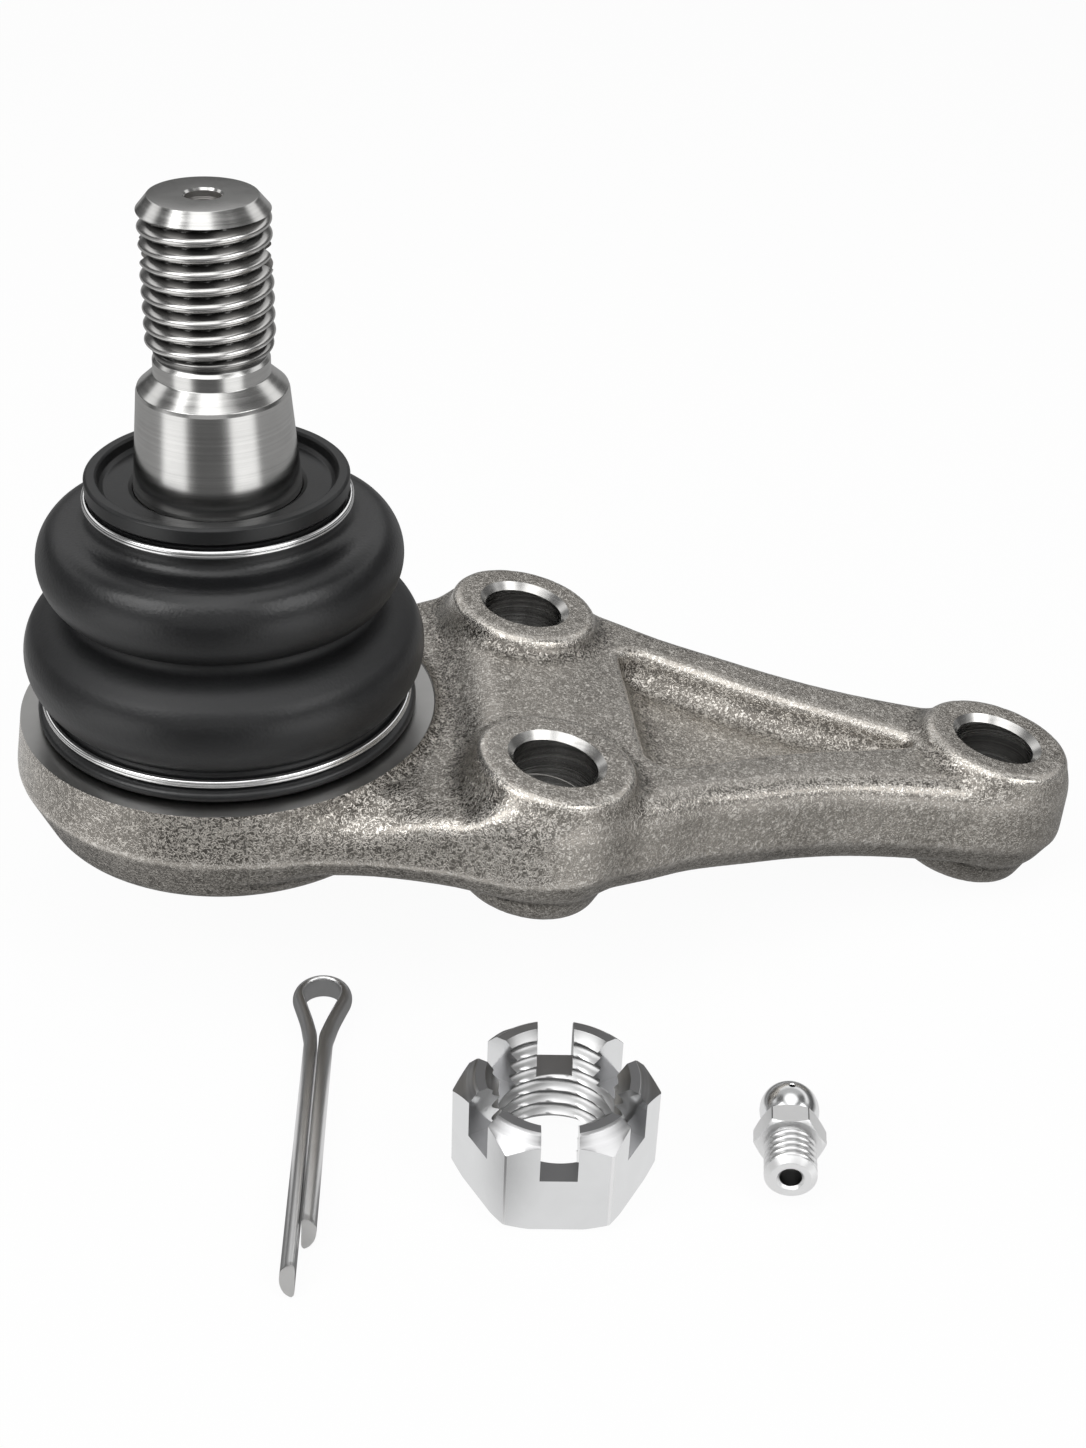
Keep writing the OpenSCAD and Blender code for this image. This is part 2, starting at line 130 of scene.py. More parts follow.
# links a node, a socket or a flow to the slot, or sets a plain value on it
def plug(value, slot):
    if isinstance(value, bpy.types.Node):
        value = value.outputs[0]
    if isinstance(value, Flow):
        value = value.socket
    if isinstance(value, bpy.types.NodeSocket):
        slot.id_data.links.new(value, slot)
    else:
        slot.default_value = value


# inputs are given in order, or by name after in_; the other values are the node's own
def addNode(tree, kind, *inputs, **values):
    node = tree.nodes.new(kind)
    for slot, value in zip(node.inputs, inputs):
        plug(value, slot)
    for key, value in values.items():
        if key.startswith("in_"):
            plug(value, node.inputs[key[3:].replace("_", " ")])
        else:
            setattr(node, key, value)
    return node


def outOf(tree, kind, output=0, **values):
    return Flow(addNode(tree, kind, **values).outputs[output])


def reckon(operation, *values, clamp=False):
    tree = next(value.tree for value in values if isinstance(value, Flow))
    node = addNode(tree, "ShaderNodeMath", *values, operation=operation, use_clamp=clamp)
    return Flow(node.outputs[0])


def split(vector):
    return [Flow(part) for part in addNode(vector.tree, "ShaderNodeSeparateXYZ", vector).outputs]


def distance(x, y):
    return reckon("SQRT", x * x + y * y)


def ramp(value, low, high, toLow, toHigh, kind="SMOOTHSTEP"):
    node = addNode(value.tree, "ShaderNodeMapRange", value, low, high, toLow, toHigh, interpolation_type=kind)
    return Flow(node.outputs[0])


# 1 between the two middle limits, and 0 outside the outer ones
def band(value, limits):
    return ramp(value, limits[0], limits[1], 0.0, 1.0) * ramp(value, limits[2], limits[3], 1.0, 0.0)


def fade(factor, start, end):
    return factor * (end - start) + start


def colourRamp(value, stops):
    node = addNode(value.tree, "ShaderNodeValToRGB", value)
    steps = node.color_ramp.elements
    while len(steps) < len(stops):
        steps.new(0.5)
    for step, (place, colour) in zip(steps, stops):
        step.position = place
        step.color = (*colour, 1)
    return node


studio = {
    "floorDrop": 0.0003,
    "floorHalf": 6.0,
    "floorPaint": (0.86, 0.86, 0.86, 1),
    "shadow": 0.045,  # how much of the paint, and so of the shadow, the camera sees
    "ambient": 0.2,
    # panels seen in the metal, by the angle from the camera's side: dark ahead, bright at 50 degrees
    "panelMid": 0.34,
    "panelBright": (0.85, (26, 36, 62, 74)),
    "panelDark": (0.20, (16, 30)),
    # black cloth at the sides, and the height where it and the panels end
    "cloth": (0.05, (76, 90, 140, 156)),
    "panelTop": (0.04, 0.2),
    # on the floor as gloss sees it: a painted reflection of white close by, painted shadow under the arm and a
    # painted dark patch in front of the boot
    "near": (0.8, (0.125, 0.155)),
    "dark": 0.2,
    "underArm": ((0.055, 0.0), (0.112, 0.052), (0.72, 1.2)),
    "beforeBoot": ((-0.018, -0.100), (0.062, 0.036), (0.6, 1.1)),
    # what gloss sees above the table: level, the angles and heights where it begins and ends, side
    "dim": 0.13,
    "boxes": {
        "backBand": (1.0, (80, 105, 181, 182), (0.36, 0.42, 0.57, 0.65), "both"),
        "backTop": (0.5, (110, 140, 181, 182), (0.50, 0.60, 2, 3), "both"),
        "leftBox": (3.4, (22, 34, 66, 80), (0.40, 0.50, 0.80, 0.88), "left"),
        "rightBox": (2.7, (32, 44, 74, 86), (0.34, 0.44, 0.72, 0.82), "right"),
        "frontBox": (1.7, (-2, -1, 26, 42), (0.60, 0.72, 2, 3), "both"),
        "lowFront": (0.5, (-2, -1, 24, 36), (0.00, 0.12, 0.50, 0.62), "both"),
        "topBox": (1.4, (-2, -1, 181, 182), (0.86, 0.95, 2, 3), "both"),
    },
    "lamps": [
        # name, place, aim, width, height, watts
        ("softLeft", (-0.72, -0.42, 0.62), (0, 0, 0.03), 0.6, 0.9, 6.2),
        ("softRight", (0.66, -0.55, 0.55), (0.05, 0, 0), 0.42, 0.9, 4.2),
        ("softTop", (0.05, 0.0, 1.0), (0.05, 0, 0), 1.0, 0.7, 3.4),
    ],
}


# how bright the studio looks towards (x, y), and the angle between there and the camera's side
def panelStrength(x, y):
    cameraSide = math.atan2(-view["ahead"][1], -view["ahead"][0])
    around = reckon("ARCTAN2", y, x) - cameraSide
    off = reckon("ARCCOSINE", reckon("COSINE", around)) * (180 / math.pi)
    bright, brightLimits = studio["panelBright"]
    dark, darkLimits = studio["panelDark"]
    level = band(off, brightLimits) * bright + studio["panelMid"]
    return ramp(off, *darkLimits, 1.0, 0.0) * -dark + level, off


def seenAsIs(path):
    return reckon("MAXIMUM", Flow(path.outputs["Is Camera Ray"]), Flow(path.outputs["Is Transmission Ray"]))


def makeWorld():
    world = bpy.data.worlds.new("studioWorld")
    bpy.context.scene.world = world
    world.use_nodes = True
    tree = world.node_tree
    tree.nodes.clear()
    path = tree.nodes.new("ShaderNodeLightPath")
    # bright and dark panels round the object, as a studio with flags has
    x, y, z = split(outOf(tree, "ShaderNodeTexCoord", "Generated"))
    panel, off = panelStrength(x, y)
    cloth, clothLimits = studio["cloth"]
    panel = fade(band(off, clothLimits), panel, cloth)
    glossy = fade(ramp(z, *studio["panelTop"], 0.0, 1.0), panel, studio["dim"])
    # x times the camera's right says which side a direction is on
    across = x * view["right"][0] + y * view["right"][1]
    onRight = reckon("GREATER_THAN", across, 0.0)
    sides = {"right": onRight, "left": 1.0 - onRight}
    for level, angles, heights, side in studio["boxes"].values():
        box = band(off, angles) * band(z, heights)
        if side in sides:
            box = box * sides[side]
        glossy = reckon("MAXIMUM", glossy, box * level)
    strength = fade(Flow(path.outputs["Is Glossy Ray"]), studio["ambient"], glossy)
    strength = reckon("MAXIMUM", strength, seenAsIs(path))
    ground = addNode(tree, "ShaderNodeBackground", in_Color=(1, 1, 1, 1), in_Strength=strength)
    addNode(tree, "ShaderNodeOutputWorld", ground)


def makeLamps():
    for name, place, aim, width, height, watts in studio["lamps"]:
        lamp = bpy.data.lights.new(name, "AREA")
        lamp.shape = "RECTANGLE"
        lamp.size, lamp.size_y, lamp.energy = width, height, watts
        holder = putIn(name, lamp)
        holder.location = place
        holder.rotation_euler = (Vector(aim) - Vector(place)).to_track_quat("-Z", "Y").to_euler()
        holder.visible_glossy = False  # gloss sees the world's panels instead


# 1 inside an ellipse on the floor
def patchOn(x, y, spot):
    centre, half, limits = spot
    x, y = (x - centre[0]) / half[0], (y - centre[1]) / half[1]
    return ramp(x * x + y * y, *limits, 1.0, 0.0)


def makeFloor():
    low, half = cadBounds[0][2] - studio["floorDrop"], studio["floorHalf"]
    mesh = bpy.data.meshes.new("studioFloor")
    mesh.from_pydata([(-half, -half, low), (half, -half, low), (half, half, low), (-half, half, low)],
                     [], [(0, 1, 2, 3)])
    material = bpy.data.materials.new("paleFloor")
    material.use_nodes = True
    tree = material.node_tree
    tree.nodes.clear()
    path = tree.nodes.new("ShaderNodeLightPath")
    # the camera sees white with a faint shadow; light that bounces sees the plain paint
    paint = addNode(tree, "ShaderNodeBsdfDiffuse", in_Color=studio["floorPaint"])
    white = addNode(tree, "ShaderNodeEmission", in_Strength=1.0)
    catch = addNode(tree, "ShaderNodeMixShader", studio["shadow"], white, paint)
    choose = addNode(tree, "ShaderNodeMixShader", seenAsIs(path), paint, catch)
    # metal sees the floor glow: a painted reflection of white paper close by and the studio's panels further
    # out, with the painted shadow and dark patch
    x, y, _ = split(outOf(tree, "ShaderNodeNewGeometry", "Position"))
    panel, _ = panelStrength(x, y)
    nearLevel, nearLimits = studio["near"]
    level = fade(ramp(distance(x, y), *nearLimits, 1.0, 0.0), panel, nearLevel)
    for spot in ("underArm", "beforeBoot"):
        level = fade(patchOn(x, y, studio[spot]), level, studio["dark"])
    # the floor glows for glossy rays only, a painted reflection holding the painted shadow under the arm
    mirror = addNode(tree, "ShaderNodeEmission", in_Strength=level)
    last = addNode(tree, "ShaderNodeMixShader", Flow(path.outputs["Is Glossy Ray"]), choose, mirror)
    addNode(tree, "ShaderNodeOutputMaterial", last)
    mesh.materials.append(material)
    putIn("studioFloor", mesh)


makeWorld()
makeLamps()
makeFloor()
say("camera, lamps and floor")


def startMaterial(name, metallic, **shader):
    material = bpy.data.materials.new(name)
    material.use_nodes = True
    skin = material.node_tree.nodes["Principled BSDF"]
    skin.inputs["Metallic"].default_value = metallic
    for key, value in shader.items():
        skin.inputs[key.replace("_", " ")].default_value = value
    return material, skin, outOf(material.node_tree, "ShaderNodeTexCoord", "Object")


def noiseOn(coords, scale, detail=3.0, roughness=0.55, distortion=0.0):
    return outOf(coords.tree, "ShaderNodeTexNoise", in_Vector=coords, in_Scale=scale, in_Detail=detail,
                 in_Roughness=roughness, in_Distortion=distortion)


def stretched(coords, scale, turn=(0, 0, 0), place=(0, 0, 0)):
    return outOf(coords.tree, "ShaderNodeMapping", in_Vector=coords, in_Scale=scale, in_Rotation=turn,
                 in_Location=place)


def attribute(coords, name):
    return outOf(coords.tree, "ShaderNodeAttribute", "Fac", attribute_name=name)


def bump(height, strength, depth, **under):
    return outOf(height.tree, "ShaderNodeBump", in_Height=height, in_Strength=strength,
                 in_Distance=depth, **under)


def shaded(colour, level):
    return tuple(c * level for c in colour)


def dress(skin, tone, stops, shine, normal):
    plug(colourRamp(tone, stops), skin.inputs["Base Color"])
    plug(shine, skin.inputs["Roughness"])
    plug(normal, skin.inputs["Normal"])


forgedLook = {  # sizes as noise scales per metre, depths in metres
    "colours": [(0.12, (0.075, 0.068, 0.060)), (0.50, (0.50, 0.466, 0.42)), (0.92, (0.86, 0.825, 0.77))],
    "wormScale": 1150.0,
    "otherScale": 920.0,
    "otherTurn": (0.5, 0.3, 0.9),
    "otherPlace": (0.31, 0.17, 0.23),
    "grainScale": 2300.0,
    "cloudScale": 60.0,
    "ridgeHalf": 0.055,  # how far from the noise's middle value a ridge reaches
    "ridgeMean": 0.36,
    "flats": (0.1, 0.6),  # steepness at which a face stops counting as flat and is all wall
    "base": 0.33,
    "cloud": 0.34,
    "lines": (0.66, 1.0, 0.7),  # strength, and its share on the flats and on the walls
    "specks": 0.14,
    "drum": (0.018, 0.045, -0.07),  # the drum is darker than the arm, up to these places along x
    # how much paler convex edges and darker hollows get: wear, painted highlight and painted shade
    "wearAndShade": 0.30,
    "shine": (0.19, 0.16, -0.09),  # base, by the grain and by the wear
    "wormBump": (0.8, 0.00012),
    "grainBump": (0.7, 0.00004),
    "depth": (0.45, 0.85),  # the bumps' share on the flats and on the walls
    "worn": (0.7, 0.5),  # wear at which the bumps are lowest, and their share there
}


def forgedSteel():
    material, skin, coords = startMaterial("forgedSteel", 0.95)
    look = forgedLook
    wearAndShade, steep = attribute(coords, "edgeWearAndShade"), attribute(coords, "steepness")
    worm = noiseOn(coords, look["wormScale"], 1.0, 0.4, 1.3)
    moved = stretched(coords, (1, 1, 1), look["otherTurn"], look["otherPlace"])
    other = noiseOn(moved, look["otherScale"], 1.0, 0.4, 1.3)
    grain = noiseOn(coords, look["grainScale"], 3.0, 0.65, 0.5)
    cloud = noiseOn(coords, look["cloudScale"], 4.0, 0.6)
    # thin wandering ridges where either noise passes its middle value
    ridge = reckon("MINIMUM", reckon("ABSOLUTE", worm - 0.5), reckon("ABSOLUTE", other - 0.5))
    ridge = ramp(ridge, 0.0, look["ridgeHalf"], 1.0, 0.0)
    lines, onFlats, onWalls = look["lines"]
    rough = ramp(steep, *look["flats"], onFlats, onWalls)
    tone = cloud * look["cloud"] + look["base"]
    tone = (ridge - look["ridgeMean"]) * rough * lines + tone
    tone = (grain - 0.5) * rough * look["specks"] + tone
    first, last, darker = look["drum"]
    tone = tone + ramp(split(coords)[0], first, last, darker, 0.0)
    # paler on convex edges, as wear and a painted highlight, and darker in hollows as painted shade
    tone = wearAndShade * look["wearAndShade"] + tone
    base, byGrain, byWear = look["shine"]
    shine = wearAndShade * byWear + (grain * byGrain + base)
    # the bumps are lower on flat tops and worn edges
    depth = ramp(steep, *look["flats"], *look["depth"])
    depth = depth * ramp(wearAndShade, 0.0, look["worn"][0], 1.0, look["worn"][1], "LINEAR")
    under = bump((ridge * 0.6 + worm) * depth, *look["wormBump"])
    dress(skin, tone, look["colours"], shine, bump(grain * depth, *look["grainBump"], in_Normal=under))
    return material


def turnedSteel(name, colour, roughness, ringScale, ringBump, axisTurn=(0, 0, 0), blotch=0.12):
    material, skin, coords = startMaterial(name, 1.0)
    rings = noiseOn(stretched(coords, (1.5, 1.5, ringScale), axisTurn), 1.0, 3.0, 0.7)
    patch = noiseOn(coords, 90.0, 3.0, 0.6)
    shine = patch * blotch + (rings * 0.16 + (roughness - 0.08))
    dress(skin, rings * 0.55 + patch * 0.45, [(0.3, shaded(colour, 0.72)), (0.6, colour)], shine,
          bump(rings, ringBump, 0.00008))
    return material


def turnedBore(axisTurn):
    material, skin, coords = startMaterial("turnedBore", 1.0)
    rings = noiseOn(stretched(coords, (3.0, 3.0, 1500.0), axisTurn), 1.0, 2.0, 0.6)
    broad = noiseOn(stretched(coords, (2.0, 2.0, 420.0), axisTurn), 1.0, 1.0, 0.5)
    colours = [(0.36, (0.34, 0.337, 0.33)), (0.52, (0.60, 0.595, 0.585)), (0.66, (0.86, 0.855, 0.84))]
    dress(skin, rings * 0.6 + broad * 0.4, colours, rings * 0.2 + 0.16, bump(rings, 0.6, 0.0001))
    return material


# painted shade in the thread's root and a painted highlight on its crest; the mesh carries the height as an
# attribute
def threadSteel(name, colour, roughness, rootShade=0.16, flankShade=0.6):
    material, skin, coords = startMaterial(name, 1.0)
    rings = noiseOn(stretched(coords, (1.5, 1.5, 1800.0)), 1.0, 2.0, 0.6)
    colours = [(0.12, shaded(colour, rootShade)), (0.62, shaded(colour, flankShade)), (0.92, colour)]
    dress(skin, rings * 0.16 + attribute(coords, "crest") * 0.86, colours, rings * 0.14 + (roughness - 0.07),
          bump(rings, 0.15, 0.00006))
    return material


def brightPlate(name, colour, roughness):
    material, skin, coords = startMaterial(name, 1.0)
    patch = noiseOn(coords, 160.0, 4.0, 0.6, 0.4)
    fine = noiseOn(coords, 1600.0, 2.0, 0.5)
    dress(skin, patch, [(0.3, shaded(colour, 0.95)), (0.7, colour)], patch * 0.06 + (roughness - 0.03),
          bump(fine, 0.12, 0.00005))
    return material


rubberLook = {
    "colours": [(0.3, (0.0065, 0.0067, 0.0072)), (0.75, (0.0125, 0.0128, 0.0135))],
    "shine": (0.25, 0.16),  # roughness, and how much the clouds vary it
    "facingDown": (-0.1, 0.3, 0.16),  # rougher where the surface's normal points down
    "valley": (0.20, (0.0215, 0.0240, 0.0275, 0.0295)),  # and in the groove between the folds
}


def bootRubber():
    material, skin, coords = startMaterial("bootRubber", 0.0, Specular_IOR_Level=0.6)
    look = rubberLook
    pebble = outOf(coords.tree, "ShaderNodeTexVoronoi", "Distance", in_Vector=coords, in_Scale=1700.0)
    cloud = noiseOn(coords, 70.0, 4.0, 0.6)
    fine = noiseOn(coords, 1200.0, 3.0, 0.6)
    up = split(outOf(coords.tree, "ShaderNodeNewGeometry", "Normal"))[2]
    low, high, downRough = look["facingDown"]
    valleyRough, valleyLimits = look["valley"]
    dull = reckon("MAXIMUM", ramp(up, low, high, downRough, 0.0),
                  band(split(coords)[2], valleyLimits) * valleyRough)
    base, byCloud = look["shine"]
    under = bump(pebble, 0.22, 0.00008)
    dress(skin, cloud, look["colours"], (cloud * byCloud + base) + dull,
          bump(fine, 0.25, 0.00012, in_Normal=under))
    return material


def collarPlastic():
    material, skin, coords = startMaterial("collarBlack", 0.0)
    cloud = noiseOn(coords, 120.0, 4.0, 0.6)
    dress(skin, cloud, [(0.3, (0.007, 0.0072, 0.0075)), (0.75, (0.014, 0.0145, 0.015))], cloud * 0.18 + 0.26,
          bump(noiseOn(coords, 2400.0, 2.0, 0.5), 0.2, 0.00006))
    return material


def bearingPlastic():
    material, skin, coords = startMaterial("bearingPlastic", 0.0)
    dress(skin, noiseOn(coords, 150.0, 3.0, 0.6), [(0.3, (0.62, 0.58, 0.48)), (0.7, (0.74, 0.7, 0.6))], 0.45,
          bump(noiseOn(coords, 1500.0, 2.0, 0.5), 0.15, 0.00005))
    return material


boltTurn = (0, math.radians(-10.5), 0)
materials = {
    "forged": forgedSteel(),
    "machined": turnedSteel("machinedFace", (0.50, 0.495, 0.485), 0.3, 60.0, 0.06),
    "bore": turnedBore(boltTurn),
    "chamfer": turnedSteel("brightChamfer", (0.78, 0.77, 0.75), 0.24, 900.0, 0.05, boltTurn, 0.03),
    "stud": turnedSteel("turnedStud", (0.74, 0.735, 0.72), 0.16, 1300.0, 0.1, blotch=0.05),
    # darker stud skin, a painted shade below the collar and in the holes
    "studDark": turnedSteel("studShadeBand", (0.36, 0.35, 0.34), 0.34, 1300.0, 0.3),
    "thread": threadSteel("rolledThread", (0.74, 0.73, 0.715), 0.2),
    "ball": turnedSteel("polishedBall", (0.7, 0.7, 0.69), 0.12, 300.0, 0.05),
    "zinc": brightPlate("brightZinc", (0.86, 0.865, 0.87), 0.12),
    "zincBall": brightPlate("polishedZinc", (0.86, 0.865, 0.87), 0.2),
    "zincSoft": brightPlate("satinZinc", (0.90, 0.90, 0.90), 0.4),
    "zincThread": threadSteel("zincThread", (0.82, 0.82, 0.82), 0.3, 0.36, 0.74),
    # pale bevels, a painted highlight along edges
    "zincEdge": brightPlate("paleEdgeHighlight", (0.98, 0.98, 0.98), 0.3),
    # dark bevels, a painted shade along edges
    "zincLine": brightPlate("shadedEdge", (0.16, 0.16, 0.165), 0.4),
    # a darker crown cone, a painted shade on faces turned up into the light
    "zincCone": turnedSteel("turnedConeShade", (0.56, 0.56, 0.565), 0.3, 900.0, 0.06, blotch=0.04),
    # dark slot floors and crown top, a painted shade
    "zincSlot": brightPlate("slotAndTopShade", (0.24, 0.24, 0.245), 0.4),
    "pinCut": brightPlate("shearedEnd", (0.78, 0.775, 0.765), 0.5),
    "pin": brightPlate("dullPin", (0.80, 0.80, 0.80), 0.3),
    "wire": brightPlate("drawnWire", (0.93, 0.93, 0.93), 0.14),
    "spring": brightPlate("springSteel", (0.3, 0.31, 0.33), 0.32),
    # also on the bolt holes' ledges, a painted shade there
    "plate": turnedSteel("pressedPlateAndLedgeShade", (0.3, 0.29, 0.275), 0.4, 120.0, 0.1),
    "rubber": bootRubber(),
    "collar": collarPlastic(),
    "bearing": bearingPlastic(),
}
say("materials")


def linkMesh(name, points, faces, skins, skinIndex=None):
    mesh = bpy.data.meshes.new(name)
    mesh.from_pydata([tuple(p) for p in points], [], [tuple(f) for f in faces])
    for skin in skins:
        mesh.materials.append(materials[skin])
    if skinIndex is not None:
        mesh.polygons.foreach_set("material_index", np.array(skinIndex, np.int32))
    mesh.update()
    return putIn(name, mesh)


def smoothShade(piece, angle=35):
    piece.data.polygons.foreach_set("use_smooth", np.ones(len(piece.data.polygons), bool))
    piece.data.set_sharp_from_angle(angle=math.radians(angle))


def readPoints(piece, what="co"):
    values = np.zeros(len(piece.data.vertices) * 3)
    piece.data.vertices.foreach_get(what, values)
    return values.reshape(-1, 3)


def markPoints(piece, name, values):
    piece.data.attributes.new(name, "FLOAT", "POINT").data.foreach_set("value", values.astype(np.float32))


# how far each point is from a thread's root to its crest, for the thread's painted shade and highlight
def markCrest(piece, low, high):
    x, y, _ = readPoints(piece).T
    markPoints(piece, "crest", np.clip((np.hypot(x, y) / mm - low) / (high - low), 0, 1))


# turns the modifiers' result into the piece's own mesh
def bake(piece):
    bpy.context.view_layer.update()
    seen = piece.evaluated_get(bpy.context.evaluated_depsgraph_get())
    mesh = bpy.data.meshes.new_from_object(seen)
    piece.modifiers.clear()
    old = piece.data
    piece.data = mesh
    bpy.data.meshes.remove(old)
    mesh.name = piece.name
    return piece


def boolean(piece, tool, operation="DIFFERENCE"):
    cut = piece.modifiers.new("cut", "BOOLEAN")
    cut.operation = operation
    cut.solver = "EXACT"
    cut.material_mode = "TRANSFER"
    cut.object = tool
    bake(piece)
    bpy.data.objects.remove(tool)


def fixNormals(piece, merge=1e-7):
    work = bmesh.new()
    work.from_mesh(piece.data)
    if merge:
        bmesh.ops.remove_doubles(work, verts=work.verts, dist=merge)
    bmesh.ops.recalc_face_normals(work, faces=work.faces)
    work.to_mesh(piece.data)
    work.free()
    piece.data.update()


# profile: (r, z) points in mm from the low pole to the high one; bands: the skin above each
def lathe(name, profile, skins, bands=None, segments=128, closed=False):
    angles = np.linspace(0, 2 * math.pi, segments, endpoint=False)
    points, faces, skinIndex, rows = [], [], [], []
    for r, z in profile:
        row = angles[:1] if r < 1e-6 else angles
        rows.append(range(len(points), len(points) + len(row)))
        points += [(r * mm * math.cos(a), r * mm * math.sin(a), z * mm) for a in row]
    for i in range(len(rows) if closed else len(rows) - 1):
        low, high = rows[i], rows[(i + 1) % len(rows)]
        if len(low) == len(high) == 1:
            continue
        for k in range(segments):
            n = (k + 1) % segments
            if len(low) == 1:
                faces.append((low[0], high[n], high[k]))
            elif len(high) == 1:
                faces.append((low[k], low[n], high[0]))
            else:
                faces.append((low[k], low[n], high[n], high[k]))
            skinIndex.append(bands[i] if bands else 0)
    piece = linkMesh(name, points, faces, skins, skinIndex)
    fixNormals(piece)
    return piece


# rounds the corners of an (r, z) profile given as (r, z, radius)
def rounded(corners, steps=5):
    out = []
    for i, (r, z, fillet) in enumerate(corners):
        if fillet <= 0 or i in (0, len(corners) - 1):
            out.append((r, z))
            continue
        here = np.array((r, z), float)
        back = np.array(corners[i - 1][:2], float) - here
        ahead = np.array(corners[i + 1][:2], float) - here
        backLong, aheadLong = np.linalg.norm(back), np.linalg.norm(ahead)
        back, ahead = back / backLong, ahead / aheadLong
        half = math.acos(max(-1, min(1, float(back @ ahead)))) / 2
        reach = min(fillet / max(math.tan(half), 1e-6), backLong * 0.49, aheadLong * 0.49)
        start, end = here + back * reach, here + ahead * reach
        for u in np.arange(steps + 1) / steps:
            out.append(tuple((1 - u) ** 2 * start + 2 * u * (1 - u) * here + u * u * end))
    return out


# a bevelled bar of hexagon section, z from low to high, that cuts a turned blank to its flats
def cutHexagon(blank, corner, low, high, bevel, segments, bevelSkin, skins):
    bar = lathe("hexBar", [(0, low), (corner, low), (corner, high), (0, high)], skins, None, 6)
    edge = bar.modifiers.new("edge", "BEVEL")
    edge.width, edge.segments, edge.material = bevel * mm, segments, bevelSkin
    boolean(blank, bake(bar), "INTERSECT")


# bevels the sharp edges whose two ends are further than this from the axis
def softenEdges(piece, width, outside, skin, angle=30):
    work = bmesh.new()
    work.from_mesh(piece.data)
    bmesh.ops.remove_doubles(work, verts=work.verts, dist=2e-6)
    bmesh.ops.dissolve_limit(work, angle_limit=math.radians(0.4), verts=work.verts, edges=work.edges,
                             delimit={"MATERIAL"})
    layer = work.edges.layers.float.get("bevel_weight_edge") or work.edges.layers.float.new("bevel_weight_edge")
    for edge in work.edges:
        if len(edge.link_faces) == 2 and edge.calc_face_angle(0) > math.radians(angle) and all(
                math.hypot(v.co.x, v.co.y) > outside * mm for v in edge.verts):
            edge[layer] = 1.0
    work.to_mesh(piece.data)
    work.free()
    soft = piece.modifiers.new("soft", "BEVEL")
    soft.limit_method = "WEIGHT"
    soft.width, soft.segments = width * mm, 2
    soft.material = skin
    bake(piece)


# big faces decide the shading, so narrow bevels don't bend the light on them
def weighNormals(piece):
    step = piece.modifiers.new("weigh", "WEIGHTED_NORMAL")
    step.keep_sharp = True
    step.weight = 100
    bake(piece)


def shift(x, y, z):
    return Matrix.Translation((x * mm, y * mm, z * mm))


def turned(degrees, axis):
    return Matrix.Rotation(math.radians(degrees), 4, axis)


def joinMeshes(pieces):
    with bpy.context.temp_override(active_object=pieces[0], selected_editable_objects=pieces,
                                   object=pieces[0], selected_objects=pieces):
        bpy.ops.object.join()
    return pieces[0]


# geometry node trees: inputs are (name, kind, value)
def newTree(name, inputs):
    tree = bpy.data.node_groups.new(name, "GeometryNodeTree")
    for label, kind, value in [("Geometry", "Geometry", None)] + inputs:
        socket = tree.interface.new_socket(label, in_out="INPUT", socket_type="NodeSocket" + kind)
        if value is not None:
            socket.default_value = value
    tree.interface.new_socket("Geometry", in_out="OUTPUT", socket_type="NodeSocketGeometry")
    return tree, {given.name: Flow(given) for given in tree.nodes.new("NodeGroupInput").outputs}


def runTree(piece, tree, values):
    step = piece.modifiers.new(tree.name, "NODES")
    step.node_group = tree
    for item in tree.interface.items_tree:
        if item.in_out == "INPUT" and item.name in values:
            step[item.identifier] = values[item.name]
    return bake(piece)


# pushes a lathe's rows outwards into a screw thread between two heights
def threadTree():
    runOut, slack = 0.0005, 0.00001
    tree, given = newTree("screwThread", [
        ("Pitch", "Float", 0.0025), ("Depth", "Float", 0.0013), ("Low", "Float", 0.0),
        ("High", "Float", 0.02), ("Root", "Float", 0.0086), ("Fade", "Float", 0.002),
        ("Full top", "Float", 0.0), ("Full base", "Float", 0.0)])
    x, y, z = split(outOf(tree, "GeometryNodeInputPosition"))
    along = z / given["Pitch"] - reckon("ARCTAN2", y, x) / (2 * math.pi)
    wave = reckon("COSINE", along * (2 * math.pi))
    ridge = reckon("POWER", reckon("MULTIPLY_ADD", wave, 0.5, 0.5), 0.55)
    start = reckon("DIVIDE", z - given["Low"], given["Fade"], clamp=True)
    start = reckon("MAXIMUM", start, given["Full base"])
    height = ridge * given["Depth"] * start
    # where an end is full the groove runs out onto the chamfer
    fromTop = reckon("DIVIDE", given["High"] - z, runOut, clamp=True)
    fromBase = reckon("DIVIDE", z - given["Low"], runOut, clamp=True)
    full = reckon("MAXIMUM", (1.0 - fromTop) * given["Full top"], (1.0 - fromBase) * given["Full base"])
    height = reckon("MAXIMUM", height, full * given["Depth"])
    # rows inside the thread's surface are pushed out to it, and the rest stay
    wide = distance(x, y)
    height = reckon("MAXIMUM", height + given["Root"] - wide, 0.0)
    onRoot = reckon("GREATER_THAN", wide, given["Root"] - 0.00006)
    inLength = reckon("GREATER_THAN", z, given["Low"]) * reckon("LESS_THAN", z, given["High"] + slack)
    height = height * (onRoot * inLength)
    push = addNode(tree, "ShaderNodeCombineXYZ", x * height / wide, y * height / wide)
    move = addNode(tree, "GeometryNodeSetPosition", in_Geometry=given["Geometry"], in_Offset=push)
    addNode(tree, "NodeGroupOutput", move)
    return tree


